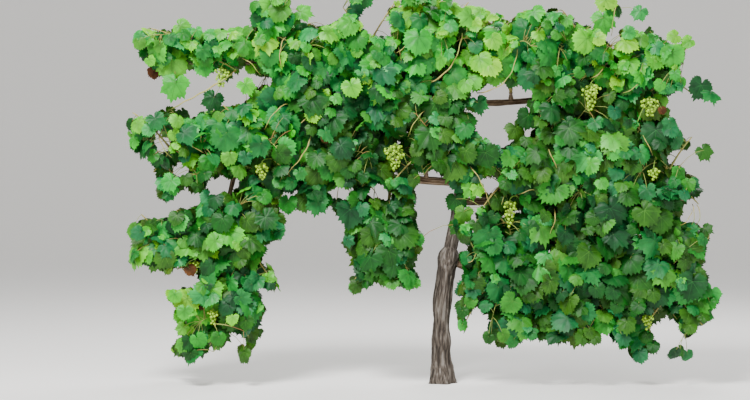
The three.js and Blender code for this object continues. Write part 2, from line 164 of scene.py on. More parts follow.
def fibre_group():
    group = bpy.data.node_groups.new("long_fibres", "ShaderNodeTree")
    for name, kind in (("Grain", "NodeSocketVector"), ("Scale", "NodeSocketFloat")):
        group.interface.new_socket(name, in_out="INPUT", socket_type=kind)
    for name in ("Mask", "Height"):
        group.interface.new_socket(name, in_out="OUTPUT", socket_type="NodeSocketFloat")
    given = group.nodes.new("NodeGroupInput").outputs
    wanted = group.nodes.new("NodeGroupOutput").inputs
    finer = add_node(group, "ShaderNodeMath", operation="MULTIPLY")
    group.links.new(given["Scale"], finer.inputs[0])
    finer.inputs[1].default_value = FINER
    grain, scale = given["Grain"], given["Scale"]
    coarse = plain_noise(group, grain, Scale=scale, Detail=5.0, Roughness=0.62, Distortion=0.25)
    fine = plain_noise(group, grain, Scale=finer.outputs[0], Detail=4.0, Roughness=0.6)
    cracks = ranged(group, coarse, From_Min=0.38, From_Max=0.62)
    both = add_node(group, "ShaderNodeMath", operation="MULTIPLY_ADD")
    group.links.new(fine, both.inputs[0])
    both.inputs[1].default_value = FINE_SHARE
    group.links.new(cracks, both.inputs[2])
    group.links.new(cracks, wanted["Mask"])
    group.links.new(both.outputs[0], wanted["Height"])
    return group


LONG_FIBRES = fibre_group()
print("group", LONG_FIBRES.name, "with", len(LONG_FIBRES.nodes), "nodes")

# %% Materials: old bark and cane bark
def bark_material(name, scale, crack, strip, edge, depth):
    """Bark from the colours of its cracks, strips and weathered edges, with fibres of some depth."""
    material, tree, shader = new_material(name, roughness=0.9, specular=0.25)
    grain = attribute(tree, "grain", "Vector")
    fibres = add_node(tree, "ShaderNodeGroup", node_tree=LONG_FIBRES, Grain=grain, Scale=scale)
    colour = ramp(tree, fibres.outputs["Mask"], [(0.0, crack), (0.55, strip), (1.0, edge)])
    patches = plain_noise(tree, object_place(tree), Scale=9.0, Detail=3.0)
    shade = ramp(tree, patches, [(0.35, (0.62, 0.6, 0.58)), (0.65, (1, 1, 1))])
    tint = blend(tree, 0.55, colour, shade, "MULTIPLY")
    set_surface(tree, shader, tint, fibres.outputs["Height"], strength=0.8, depth=depth)
    return material


# The old bark is grey-brown, its colours darkened a little as painted shade for the trunk in shadow.
OLD_BARK = bark_material(
    "old_bark", scale=95, depth=0.004,
    crack=(0.026, 0.020, 0.016), strip=(0.108, 0.087, 0.070), edge=(0.225, 0.200, 0.175),
)
ARM_BARK = bark_material(
    "arm_bark", scale=140, depth=0.002,
    crack=(0.07, 0.042, 0.025), strip=(0.23, 0.15, 0.09), edge=(0.38, 0.28, 0.19),
)
print("bark materials", OLD_BARK.name, ARM_BARK.name)

# %% [markdown]
# ## The rule that the vine grows by
# The solids come from a small set of sizes and a seeded rule. The same rule is written again here, so that
# the fine wood and leaves grow on from the same limbs, spurs and forks. First come the sizes and the seeded
# numbers.

# %% Sizes of the wood
TRUNK_HEIGHT = 0.600
TRUNK_LEAN = 0.038
TRUNK_RADIUS = 0.038
ROOT_FLARE = 0.022
FLARE_HEIGHT = 0.055
HEAD_SWELL = 0.009
ROOT_SINK = 0.012
LEFT_REACH = -1.205
RIGHT_REACH = 1.065
SPUR_RADIUS = 0.009
SPUR_STAND = 0.030
SHORTEST_STEM = 0.068
SHOOT_RADIUS = 0.007
SHOOT_SPACING = 0.013
SEAT_GAP = 0.0003
LIMB_CLEARANCE = 0.004
CROWN_FRONT = -0.235
CROWN_BACK = 0.150

BACK = np.array((0.0, 1.0, 0.0))
FRONT = -BACK
UP = np.array((0.0, 0.0, 1.0))


def seeded(seed):
    """A small generator of numbers from 0 to 1, the same on every run."""
    modulus = 2147483647
    state = (seed * 7919 + 104729) % modulus

    def draw():
        nonlocal state
        state = state * 48271 % modulus
        return state / modulus

    return draw


def mix(a, b, t):
    return a + (b - a) * t


def draws(random, *spans):
    """One random number from each span, drawn in this order."""
    return np.array([mix(*span, random()) for span in spans])


def unit(v):
    return v / np.linalg.norm(v, axis=-1, keepdims=True)


def nearest_of(places, point):
    """The number of the place nearest to a point, and its distance."""
    gaps = np.linalg.norm(places - point, axis=1)
    number = int(np.argmin(gaps))
    return number, gaps[number]


print("the wood reaches from", LEFT_REACH, "to", RIGHT_REACH, "m")

# %% [markdown]
# ## Routes and thicknesses of the limbs
# A limb is a route between two points and a radius along it. The route of an arm rises early and then runs
# level, because it was bent down and tied when young, and it wanders a little, as old wood does.

# %% Limb routes
def route(start, end, level=1, bow=0.0, sway=0.007, phase=0):
    def centre(t):
        t = np.asarray(t, float)
        bend = np.sin(np.pi * t)
        return np.stack([
            mix(start[0], end[0], t) + bow * bend,
            mix(start[1], end[1], t) + sway * np.sin(7 * t + 2 * phase) * bend,
            mix(start[2], end[2], 1 - (1 - t) ** level) + sway * np.sin(9 * t + phase) * bend,
        ], axis=-1)

    return centre


def uneven(t, angle):
    return 1 + 0.07 * np.sin(2 * angle + 11 * t) + 0.05 * np.sin(23 * t)


def trunk_radius(t, angle):
    near_ground = np.exp(-t * TRUNK_HEIGHT / FLARE_HEIGHT)
    ribs = 1 + 0.12 * np.cos(5 * angle) * near_ground
    head = HEAD_SWELL * np.exp(-(((t - 0.93) / 0.07) ** 2))
    return (TRUNK_RADIUS * mix(1.04, 0.94, t) * uneven(t, angle) + ROOT_FLARE * near_ground + head) * ribs


LIMBS = {}


def add_limb(name, start, end, radii=None, radius=None, **path):
    def tapering(t, angle):
        return mix(radii[0], radii[1], t) * uneven(t, angle)

    LIMBS[name] = {"centre": route(start, end, **path), "radius": radius or tapering, "spurs": []}


def on_limb(name, t):
    return LIMBS[name]["centre"](t)


add_limb("trunk", (0, 0, -ROOT_SINK), (TRUNK_LEAN, 0.006, TRUNK_HEIGHT), radius=trunk_radius,
         bow=-0.020, sway=0.005)
add_limb("leader", on_limb("trunk", 0.94), (0.046, 0.014, 1.262), (0.027, 0.019), bow=0.042, phase=1)
add_limb("top_left_cordon", on_limb("leader", 0.955), (LEFT_REACH, 0.026, 1.400), (0.015, 0.008),
         level=3, phase=2)
add_limb("top_right_cordon", on_limb("leader", 0.93), (RIGHT_REACH - 0.080, 0.022, 1.238), (0.015, 0.008),
         level=3, phase=3)
add_limb("middle_left_cordon", on_limb("leader", 0.45), (LEFT_REACH, 0.030, 0.976), (0.017, 0.008), phase=4)
add_limb("middle_right_cordon", on_limb("leader", 0.33), (RIGHT_REACH, 0.024, 0.800), (0.016, 0.008), phase=5)
add_limb("lower_right_cordon", on_limb("trunk", 0.9), (RIGHT_REACH, 0.020, 0.374), (0.017, 0.008),
         level=3, phase=6)
add_limb("hanging_left_arm", on_limb("middle_left_cordon", 0.76), (-0.990, -0.014, 0.452), (0.010, 0.007),
         bow=-0.010, phase=7)
print(len(LIMBS), "limbs")

# %% [markdown]
# ## The spaces of the leaf masses
# Each mass keeps to its own space, given as left, right, bottom and top as seen from the front. It forks in
# the middle of that space, from a spur on the nearest place of its limb.

# %% Masses and their forks
# Each tier from left to right: the limb of each mass, and the left, right, bottom and top of its space.
TIERS = {
    "top": [
        ("top_left_cordon", -1.312, -0.850, 1.345, 1.562),
        ("top_left_cordon", -0.850, -0.486, 1.235, 1.674),
        ("top_left_cordon", -0.486, -0.163, 1.245, 1.690),
        ("leader", -0.163, 0.133, 1.260, 1.690),
        ("top_right_cordon", 0.133, 0.452, 1.277, 1.618),
        ("top_right_cordon", 0.452, 0.783, 1.260, 1.672),
        ("top_right_cordon", 0.783, 1.174, 1.148, 1.550),
    ],
    "middle": [
        ("middle_left_cordon", -1.363, -0.980, 0.804, 1.200),
        ("middle_left_cordon", -0.980, -0.615, 0.838, 1.235),
        ("middle_left_cordon", -0.615, -0.249, 0.750, 1.245),
        ("middle_left_cordon", -0.249, 0.133, 0.847, 1.260),
        ("middle_right_cordon", 0.133, 0.383, 0.731, 1.066),
        ("middle_right_cordon", 0.383, 0.783, 0.731, 1.260),
        ("middle_right_cordon", 0.783, 1.165, 0.701, 1.148),
    ],
    "lower": [
        ("hanging_left_arm", -1.363, -1.045, 0.404, 0.804),
        ("hanging_left_arm", -1.045, -0.680, 0.404, 0.838),
        ("hanging_left_arm", -1.170, -0.780, 0.112, 0.404),
        ("middle_left_cordon", -0.421, -0.082, 0.408, 0.847),
        ("lower_right_cordon", 0.052, 0.374, 0.170, 0.731),
        ("lower_right_cordon", 0.374, 0.783, 0.170, 0.731),
        ("lower_right_cordon", 0.783, 1.200, 0.100, 0.701),
    ],
}
MASSES = [
    {"name": f"{tier}_leaves_{number}", "tier": tier, "limb": limb, "space": space}
    for tier, rows in TIERS.items()
    for number, (limb, *space) in enumerate(rows, start=1)
]
FORK_DEPTH = -0.045


def place_fork(mass):
    left, right, bottom, top = mass["space"]
    limb = LIMBS[mass["limb"]]
    goal = np.array(((left + right) / 2, FORK_DEPTH, (bottom + top) / 2))
    steps = np.arange(60) / 60
    places = limb["centre"](steps)
    number, _ = nearest_of(places, goal)
    root = places[number]
    out = goal - root
    stand = limb["radius"](steps[number], 0) + SPUR_STAND
    reach = max(np.linalg.norm(out), stand + SHORTEST_STEM)
    mass["out"] = unit(out)
    mass["fork"] = root + mass["out"] * reach
    mass["foot"] = root + mass["out"] * (stand + SEAT_GAP)
    limb["spurs"].append((root, root + mass["out"] * stand))


for mass in MASSES:
    place_fork(mass)
print(len(MASSES), "forks, the highest at", round(max(mass["fork"][2] for mass in MASSES), 3), "m")

# %% Keep clear of the old wood
# With its bark, a limb counts as this much thicker.
BARK_SPARE = 1.12

wood_places = []
wood_radii = []
for limb in LIMBS.values():
    steps = np.arange(161) / 160
    wood_places.append(limb["centre"](steps))
    wood_radii.append(limb["radius"](steps, 0) * BARK_SPARE)
    for spur_from, spur_to in limb["spurs"]:
        wood_places.append(np.array([mix(spur_from, spur_to, t) for t in (0.4, 0.7, 1)]))
        wood_radii.append(np.full(3, SPUR_RADIUS))
wood_places = np.concatenate(wood_places)
wood_radii = np.concatenate(wood_radii)


def clearance(points, places=wood_places, radii=wood_radii):
    """How far the nearest of some points lies from old wood."""
    return (np.linalg.norm(points[:, None] - places, axis=2) - radii).min(initial=np.inf)


print(len(wood_places), "places of old wood to keep clear of")

# %% [markdown]
# ## Shoots
# From each fork a few shoots fan out, one towards each corner of the space and one out of the front. Each
# rises to a bend halfway and then leans outwards. A shoot that would touch a limb passes in front of it
# instead, or isn't grown.

# %% Shoots by the rule
AIMS = ((-1, 1, -1), (1, 1, 0.6), (1, -1, -1), (-1, -1, 0.7), (0.1, 0.15, -1.5))
IN_FRONT = -1.2
TESTED = np.array((0.25, 0.35, 0.45, 0.5, 0.55, 0.65, 0.75, 0.85, 0.95, 1))
FAN_SPREAD = (0.32, 0.41)
FAN_DEPTH = 0.075
SHAKE = (-0.015, 0.015)
RISE = (0.005, 0.018)


def along_bend(start, bend, end, t):
    t = np.asarray(t, float)[..., None]
    return np.where(t < 0.5, mix(start, bend, 2 * t), mix(bend, end, 2 * t - 1))


def shoots_of(mass, index):
    random = seeded(index + 1)
    left, right, bottom, top = mass["space"]
    kept = []
    for sideways, upwards, depth in AIMS:
        start = mass["fork"] - mass["out"] * SHOOT_SPACING * len(kept)
        tries = []
        for deep in (depth, IN_FRONT):
            spread, aside, backwards, higher, rise = draws(random, FAN_SPREAD, SHAKE, SHAKE, SHAKE, RISE)
            x = (left + right) / 2 + sideways * spread * (right - left) + aside
            y = mass["fork"][1] + FAN_DEPTH * deep + backwards
            z = (bottom + top) / 2 + upwards * spread * (top - bottom) + higher
            end = np.array((x, y, z))
            bend = mix(start, end, 0.5) + UP * rise
            tries.append((start, bend, end))
        free = [s for s in tries if clearance(along_bend(*s, TESTED)) > SHOOT_RADIUS + LIMB_CLEARANCE]
        if free:
            kept.append(free[0])
    return kept


def grow_all(key, grow):
    """Grows one kind of thing on every mass, and counts it."""
    for index, mass in enumerate(MASSES):
        mass[key] = grow(mass, index)
    print(sum(len(mass[key]) for mass in MASSES), key)


grow_all("shoots", shoots_of)

# %% [markdown]
# ## Limbs with the relief of bark
# Each limb starts as a flat grid, as wide as the limb is round and as long as it runs. The grid is rolled
# up round the route, its seam merged and its ends filled. Ridges and cracks that run with the grain push
# its radius in and out, and knuckles stand where old canes were cut off.

# %% Relief of bark
GRAIN_SHRINK = 0.10
# Over how many metres a limb and the trunk's head round off.
ROUNDED_TIP = 0.012
ROUNDED_HEAD = 0.055


def relief(t, angle, radius, length, depth):
    """How far bark stands out of the plain limb, in metres: long ridges, broken by cracks, and knuckles."""
    around = Vector((math.cos(angle), math.sin(angle), 0)) * radius
    run = t * length
    twist = angle + 1.6 * run
    ridge_place = Vector((math.cos(twist) * 2.1, math.sin(twist) * 2.1, run * 3.2))
    ridges = noise.fractal(ridge_place * 1.3, 0.9, 2.1, 3)
    strips = noise.fractal(Vector((around.x * 260, around.y * 260, run * 14)), 0.8, 2.2, 3)
    knuckles = max(0.0, noise.noise(Vector((around.x * 9 + 5, around.y * 9, run * 13))) - 0.18)
    return depth * (0.55 * ridges + 0.6 * strips + 2.4 * knuckles)


print("relief halfway up the trunk", round(relief(0.5, 0, TRUNK_RADIUS, TRUNK_HEIGHT, 0.0042), 5), "m")

# %% Limb mesh
STEP = 1e-3


def limb_mesh(name, around, along, length, depth, material):
    limb = LIMBS[name]
    bm = bmesh.new()
    bmesh.ops.create_grid(bm, x_segments=around, y_segments=along, size=0.5)
    grain = bm.verts.layers.float_vector.new("grain")
    verts = list(bm.verts)
    flat = np.array([v.co[:2] for v in verts]) + 0.5
    angles, steps = flat[:, 0] * 2 * math.pi, np.clip(flat[:, 1], 0, 1)
    centre = limb["centre"]
    centres = centre(steps)
    ahead = unit(centre(np.minimum(1, steps + STEP)) - centre(np.maximum(0, steps - STEP)))
    side = unit(np.cross(BACK, ahead))
    across = np.cross(ahead, side)
    plain = limb["radius"](steps, angles)
    tip = ROUNDED_HEAD if name == "trunk" else ROUNDED_TIP
    for i, vert in enumerate(verts):
        t, angle = steps[i], angles[i] % (2 * math.pi)
        r = plain[i] + relief(t, angle, plain[i], length, depth)
        from_tip = (1 - t) * length
        if from_tip < tip:
            r *= math.sqrt(max(0.0, 1 - (1 - from_tip / tip) ** 2)) * 0.85 + 0.15
        place = centres[i] + side[i] * r * math.cos(angle) + across[i] * r * math.sin(angle)
        if name == "trunk":
            place[2] = max(place[2], 0)
        vert.co = place
        vert[grain] = (plain[i] * math.cos(angle), plain[i] * math.sin(angle), t * length * GRAIN_SHRINK)
    bmesh.ops.remove_doubles(bm, verts=bm.verts, dist=1e-6)
    bmesh.ops.holes_fill(bm, edges=[edge for edge in bm.edges if edge.is_boundary])
    bmesh.ops.recalc_face_normals(bm, faces=bm.faces)
    dress(mesh_of(bm, name + "_wood"), material, (name,))


def mesh_of(bm, name):
    """Ends a bmesh as a smooth mesh."""
    for face in bm.faces:
        face.smooth = True
    mesh = bpy.data.meshes.new(name)
    bm.to_mesh(mesh)
    bm.free()
    return mesh


def dress(mesh, material, nodes):
    """Makes a piece that rides on the root and stands for the named solids."""
    mesh.materials.append(material)
    piece = add_object(mesh.name, mesh)
    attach(piece, "root")
    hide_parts(*nodes)
    print(mesh.name, len(mesh.polygons), "faces")
    return piece


# %% Old wood pieces
RINGS_PER_METRE = 230

limb_mesh("trunk", 72, 260, length=0.61, depth=0.0042, material=OLD_BARK)
limb_mesh("leader", 52, 260, length=0.72, depth=0.0032, material=OLD_BARK)
for name, length in (
    ("top_left_cordon", 1.27), ("top_right_cordon", 0.93), ("middle_left_cordon", 1.28),
    ("middle_right_cordon", 0.98), ("lower_right_cordon", 1.02), ("hanging_left_arm", 0.52),
):
    rings = int(length * RINGS_PER_METRE)
    limb_mesh(name, 26, rings, length, depth=0.0017, material=ARM_BARK)

# %% [markdown]
# ## Many round twigs at once
# Stems, canes, leaf stalks and tendrils are hundreds of thin tubes. Modelling each by hand would be slow,
# so one function works out the rings of all of them together as arrays, and they are joined, each kind
# apart.

# %% Tubes from arrays
def tubes(paths, radii, sides):
    """Points and triangles of closed tubes along paths of equal ring count, shaped (count, rings, 3)."""
    paths = np.asarray(paths, float)
    radii = np.asarray(radii, float)
    count, rings, _ = paths.shape
    ahead = unit(np.gradient(paths, axis=1))
    side = unit(np.cross(ahead, (0.31, 0.93, 0.2)))
    across = np.cross(ahead, side)
    turn = np.linspace(0, 2 * math.pi, sides, endpoint=False)
    spokes = np.cos(turn)[:, None] * side[:, :, None] + np.sin(turn)[:, None] * across[:, :, None]
    skin = (paths[:, :, None] + radii[:, :, None, None] * spokes).reshape(count, rings * sides, 3)
    points = np.concatenate([skin, paths[:, :1], paths[:, -1:]], axis=1)
    here = np.arange(sides)
    after = (here + 1) % sides
    triangles = []
    for ring in range(rings - 1):
        low, high = ring * sides, (ring + 1) * sides
        triangles.append(np.stack([low + here, low + after, high + after], 1))
        triangles.append(np.stack([low + here, high + after, high + here], 1))
    foot, tip, last = rings * sides, rings * sides + 1, (rings - 1) * sides
    triangles.append(np.stack([np.full(sides, foot), after, here], 1))
    triangles.append(np.stack([np.full(sides, tip), last + here, last + after], 1))
    return repeat_shape(points, np.concatenate(triangles))


def repeat_shape(points, triangles):
    """Joins shapes of equal corner count, shaped (count, corners, 3), into (points, triangles)."""
    count, corners, _ = points.shape
    offsets = np.arange(count)[:, None, None] * corners
    return points.reshape(-1, 3), (triangles[None] + offsets).reshape(-1, 3)


def join_shapes(shapes):
    """Joins (points, triangles) pairs into one."""
    points, triangles, base = [], [], 0
    for shape_points, shape_triangles in shapes:
        points.append(shape_points)
        triangles.append(shape_triangles + base)
        base += len(shape_points)
    return np.concatenate(points), np.concatenate(triangles)


# %% Joined meshes from arrays
def joined_piece(name, shape, material, nodes):
    """A piece from arrays of points and triangles."""
    points, triangles = shape
    mesh = bpy.data.meshes.new(name)
    mesh.vertices.add(len(points))
    mesh.vertices.foreach_set("co", points.astype(np.float32).ravel())
    mesh.loops.add(len(triangles) * 3)
    mesh.loops.foreach_set("vertex_index", triangles.astype(np.int32).ravel())
    mesh.polygons.add(len(triangles))
    mesh.polygons.foreach_set("loop_start", np.arange(len(triangles), dtype=np.int32) * 3)
    mesh.polygons.foreach_set("use_smooth", np.ones(len(triangles), bool))
    mesh.update(calc_edges=True)
    mesh.validate()
    return dress(mesh, material, nodes)


# %% [markdown]
# ## Spurs
# A spur is the stub of an old cane that is cut back each winter. It is a short knobbly tube from the middle
# of its limb out to where the new stem begins.

# %% Spurs
SPUR_RINGS = 12


def spur_shape(spur_from, spur_to, seed):
    random = seeded(seed)
    t = np.linspace(0, 1, SPUR_RINGS)
    path = mix(spur_from, spur_to, t[:, None])
    knobs = 1 + 0.16 * np.sin(9 * t + 6 * random()) + 0.12 * np.sin(23 * t + 6 * random())
    radius = SPUR_RADIUS * mix(1.15, 0.95, t) * knobs
    return tubes(path[None], radius[None], sides=10)


all_spurs = [spur for limb in LIMBS.values() for spur in limb["spurs"]]
spur_shapes = [spur_shape(*spur, seed=301 + i) for i, spur in enumerate(all_spurs)]
SPUR_NODES = [name for name, limb in LIMBS.items() if limb["spurs"]]
print(len(all_spurs), "spurs on", len(SPUR_NODES), "limbs")

# %% Material: spur and cane skins
def cane_material(name, light, dark, node_tint):
    """Smooth young wood, streaked from light to dark along Z, with tinted patches."""
    material, tree, shader = new_material(name, roughness=0.55, specular=0.35)
    place = object_place(tree)
    stretch = add_node(tree, "ShaderNodeMapping", Vector=place, Scale=(190, 190, 55)).outputs["Vector"]
    streaks = plain_noise(tree, stretch, Scale=1.0, Detail=4.0)
    colour = ramp(tree, streaks, [(0.3, dark), (0.62, light)])
    patches = plain_noise(tree, place, Scale=14.0, Detail=2.0)
    tint = blend(tree, ranged(tree, patches, From_Min=0.52, From_Max=0.68), colour, (*node_tint, 1))
    set_surface(tree, shader, tint, streaks, strength=0.35, depth=0.0008)
    return material


SPUR_SKIN = cane_material("spur_skin", (0.3, 0.21, 0.13), (0.12, 0.08, 0.05), (0.2, 0.13, 0.08))
CANE_SKIN = cane_material("cane_skin", (0.42, 0.37, 0.10), (0.26, 0.20, 0.05), (0.24, 0.32, 0.06))
STALK_SKIN = cane_material("stalk_skin", (0.3, 0.36, 0.08), (0.2, 0.25, 0.05), (0.30, 0.15, 0.05))
joined_piece("spurs", join_shapes(spur_shapes), SPUR_SKIN, SPUR_NODES)

# %% [markdown]
# ## Open places
# In some places the crown is open right through, and its outline is bitten into. Those places are given as
# upright ovals on a plane through the middle of the crown, as the camera sees it. Nothing thin or leafy
# grows into them.

# %% Open places
# Each open place as x, z, half its width and half its height, in millimetres.
OPEN_PLACES = np.array([
    (252, 1205, 88, 110), (-955, 1238, 115, 32), (-1265, 1225, 50, 60), (-1200, 1590, 150, 55),
    (-980, 1580, 100, 45), (-537, 1640, 110, 90), (-280, 1535, 48, 28), (-296, 1610, 55, 55),
    (270, 1640, 30, 50), (624, 1620, 58, 70), (555, 1640, 65, 35), (1060, 1560, 160, 95),
    (727, 1518, 22, 60), (1140, 1365, 105, 95), (1115, 1130, 100, 80), (1175, 840, 55, 110),
    (1185, 520, 50, 120), (1030, 975, 60, 32), (1120, 930, 60, 40), (963, 228, 55, 52), (1150, 180, 80, 80),
    (-1325, 880, 85, 100), (-1208, 1040, 26, 30), (-1125, 925, 30, 18), (-1100, 800, 48, 34),
    (-945, 862, 70, 20), (-1250, 760, 85, 30), (-1290, 430, 100, 80), (-1110, 460, 50, 35),
    (-900, 190, 26, 30), (-720, 560, 45, 50), (-47, 770, 62, 150), (200, 862, 34, 22), (-443, 826, 42, 18),
    (-271, 822, 45, 16), (-780, 1310, 34, 14), (150, 270, 40, 40), (1052, 1212, 78, 44),
    (1078, 742, 50, 40),
]) / 1000


def as_seen(points):
    """Where points fall, seen by the camera, on the upright plane through the middle of the crown."""
    scale = DISTANCE / (DISTANCE + points[:, 1] - FRAME_MIDDLE.y)
    x = FRAME_MIDDLE.x + (points[:, 0] - FRAME_MIDDLE.x) * scale
    z = FRAME_MIDDLE.z + (points[:, 2] - FRAME_MIDDLE.z) * scale
    return x, z


def stands_at(x, z, y):
    """Where a thing at depth y stands, so that the camera sees it at x and z on that plane."""
    scale = (DISTANCE + y - FRAME_MIDDLE.y) / DISTANCE
    return np.array((mix(FRAME_MIDDLE.x, x, scale), y, mix(FRAME_MIDDLE.z, z, scale)))


def closes_open_place(points):
    x, z = (seen[:, None] for seen in as_seen(points))
    ox, oz, half_width, half_height = OPEN_PLACES.T
    return bool((((x - ox) / half_width) ** 2 + ((z - oz) / half_height) ** 2 < 1).any())


print(len(OPEN_PLACES), "open places")

# %% [markdown]
# ## Canes and side twigs
# The stems and shoots are this year's canes. A cane swells at each node, and a side twig leaves it there,
# to the left and to the right in turn. The side twigs fill the space between the shoots and carry most of
# the leaves. A shoot stops where the crown is open.

# %% Curves and canes
CANE_RINGS = 22
CANE_SIDES = 8
STEM_RADII = (0.0072, 0.0055)
CANE_RADII = (0.0048, 0.0022)
TWIG_RADII = (0.0026, 0.0013)
NODES_PER_CANE = 5
TWIG_RINGS = 7
TWIG_SIDES = 5
SHORTEST_SHOOT = 0.45
STEM_SINK = 0.004
ARCH = 0.6
# How much a cane swells at its nodes, and over which share of the way from one to the next.
CANE_SWELL = (0.35, 0.09)


def curve(start, arch, end, t):
    """A curve that leaves its start towards the arch and comes from there to its end."""
    return (1 - t) ** 2 * start + 2 * t * (1 - t) * arch + t * t * end


def arch_of(start, bend, end):
    return bend + (bend - mix(start, end, 0.5)) * ARCH


def smooth_bend(start, bend, end, t):
    """A curve near the bent line, which it leaves by a few millimetres at the bend."""
    return curve(start, arch_of(start, bend, end), end, np.asarray(t, float)[..., None])


def shortened(start, bend, end):
    """A shoot that would cross an open place ends at its border, as a curve of the same kind."""
    steps = np.linspace(0.3, 1, 29)
    open_steps = [t for t in steps if closes_open_place(smooth_bend(start, bend, end, [t]))]
    if not open_steps or open_steps[0] < SHORTEST_SHOOT:
        return start, bend, end
    share = open_steps[0] - 0.02
    arch = arch_of(start, bend, end)
    tip = smooth_bend(start, bend, end, share)
    return start, (mix(start, arch, share) + ARCH * mix(start, tip, 0.5)) / (1 + ARCH), tip


def swollen(t, nodes, height, width):
    """How much thicker a cane is along its way, as it swells round each of its nodes."""
    return 1 + height * np.exp(-((((t * nodes) % 1) - 0.5) / width) ** 2)


def cane(start, bend, end, radii):
    t = np.linspace(0, 1, CANE_RINGS)
    return smooth_bend(start, bend, end, t), mix(*radii, t) * swollen(t, NODES_PER_CANE, *CANE_SWELL)


print("a cane's nodes are", round(swollen(0.5, NODES_PER_CANE, *CANE_SWELL), 2), "times as thick")

# %% Side twigs
# How far a twig leans onwards and forwards, its length and the rise of its bend.
TWIG_DRAWS = ((0.2, 0.7), (-0.9, 0.9), (0.09, 0.17), (0.0, 0.03))


def inside(space, p, spare=0.0):
    left, right, bottom, top = space
    in_width = (p[..., 0] > left - spare) & (p[..., 0] < right + spare)
    return in_width & (p[..., 2] > bottom - spare) & (p[..., 2] < top + spare)


def in_depth(p, margin=0.0):
    return (p[..., 1] > CROWN_FRONT + margin) & (p[..., 1] < CROWN_BACK - margin)


def side_twigs(mass, index):
    random = seeded(index + 201)
    twigs = []
    for number, shoot in enumerate(mass["shoots"]):
        for node in range(NODES_PER_CANE):
            t = (node + 0.5) / NODES_PER_CANE
            start = smooth_bend(*shoot, t)
            ahead = unit(smooth_bend(*shoot, t + 0.02) - start)
            turn = 1 if (node + number) % 2 else -1
            aside = unit(np.cross(ahead, FRONT)) * turn
            onwards, forwards, length, rise = draws(random, *TWIG_DRAWS)
            end = start + unit(aside + ahead * onwards + FRONT * forwards) * length
            bend = mix(start, end, 0.5) + UP * rise
            line = smooth_bend(start, bend, end, np.linspace(0.2, 1, 5))
            fits = inside(mass["space"], line, -0.02).all() and in_depth(line, 0.03).all()
            if fits and clearance(line) > LIMB_CLEARANCE and not closes_open_place(line):
                twigs.append((start, bend, end))
    return twigs


for mass in MASSES:
    mass["shoots"] = [shortened(*shoot) for shoot in mass["shoots"]]
grow_all("twigs", side_twigs)

# %% Cane and twig pieces
canes, twigs = [], []
for mass in MASSES:
    foot = mass["foot"] - mass["out"] * STEM_SINK
    canes.append(cane(foot, mix(mass["foot"], mass["fork"], 0.5), mass["fork"], STEM_RADII))
    canes += [cane(*shoot, CANE_RADII) for shoot in mass["shoots"]]
    twigs += mass["twigs"]
along_twig = np.linspace(0, 1, TWIG_RINGS)
twig_paths = [smooth_bend(*twig, along_twig) for twig in twigs]
twig_radii = np.tile(mix(*TWIG_RADII, along_twig), (len(twigs), 1))
MASS_NODES = [mass["name"] for mass in MASSES]
joined_piece("canes", tubes(*zip(*canes), CANE_SIDES), CANE_SKIN, MASS_NODES)
joined_piece("side_twigs", tubes(twig_paths, twig_radii, TWIG_SIDES), STALK_SKIN, MASS_NODES)

# %% [markdown]
# ## One leaf
# A vine leaf is nearly round, with five shallow lobes, saw teeth along its rim and a notch where the stalk
# joins. A fan of triangles is made by an operator, its rim is pushed outwards as a second ring, and that
# ring is split once more, so that every tooth has a tip and a valley. This flat fan is the pattern for
# every leaf shape.

# %% Leaf pattern
SPOKES = 24
LEAF_SHAPES = 12
VEINS = (0, 45, 105, 255, 315)
BASE = [(135, 0.46), (160, 0.40), (172, 0.2), (180, 0.06)]
LOBED = [(0, 0.75), (26, 0.54), (45, 0.66), (75, 0.47), (105, 0.55)] + BASE
ROUND = [(0, 0.70), (24, 0.60), (45, 0.64), (75, 0.54), (105, 0.55)] + BASE


def arrays_of(bm):
    """Ends a bmesh as arrays of its corners and triangles."""
    bm.verts.index_update()
    corners = np.array([v.co for v in bm.verts])
    triangles = np.array([[v.index for v in face.verts] for face in bm.faces])
    bm.free()
    return corners, triangles


def leaf_pattern():
    """Angles from the tip, rings (0 stalk, 1 inner, 2 valley, 3 tooth) and triangles of the flat fan."""
    bm = bmesh.new()
    bmesh.ops.create_circle(bm, cap_ends=True, cap_tris=True, segments=SPOKES, radius=1)
    pushed = bmesh.ops.extrude_edge_only(bm, edges=[edge for edge in bm.edges if edge.is_boundary])
    rim = [item for item in pushed["geom"] if isinstance(item, bmesh.types.BMVert)]
    bmesh.ops.scale(bm, vec=(2, 2, 1), verts=rim)
    bmesh.ops.subdivide_edges(bm, edges=[edge for edge in bm.edges if edge.is_boundary], cuts=1)
    bmesh.ops.triangulate(bm, faces=bm.faces)
    bmesh.ops.recalc_face_normals(bm, faces=bm.faces)
    flat, triangles = arrays_of(bm)
    first, second, third = (flat[triangles[0, i]] for i in range(3))
    if np.cross(second - first, third - first)[2] < 0:
        triangles = triangles[:, ::-1]
    radius = np.linalg.norm(flat, axis=1)
    rings = np.select([radius < 0.5, radius < 1.5, radius < 1.995], [0, 1, 2], 3)
    angles = np.round(np.degrees(np.arctan2(flat[:, 0], flat[:, 1])), 3) % 360
    return angles, rings, triangles


LEAF_ANGLES, LEAF_RINGS, LEAF_TRIANGLES = leaf_pattern()
print("the pattern of a leaf has", len(LEAF_TRIANGLES), "triangles")

# %% [markdown]
# ## Leaf shapes
# Twelve shapes are bent from that pattern. Some are lobed and some nearly round. Each droops to its rim,
# folds along its middle, curls at its tip, bulges between its veins and ripples along its edge by its own
# amounts.

# %% Leaf shapes from the pattern
RING_REACH = np.array((0.0, 0.56, 0.92, 1.05))


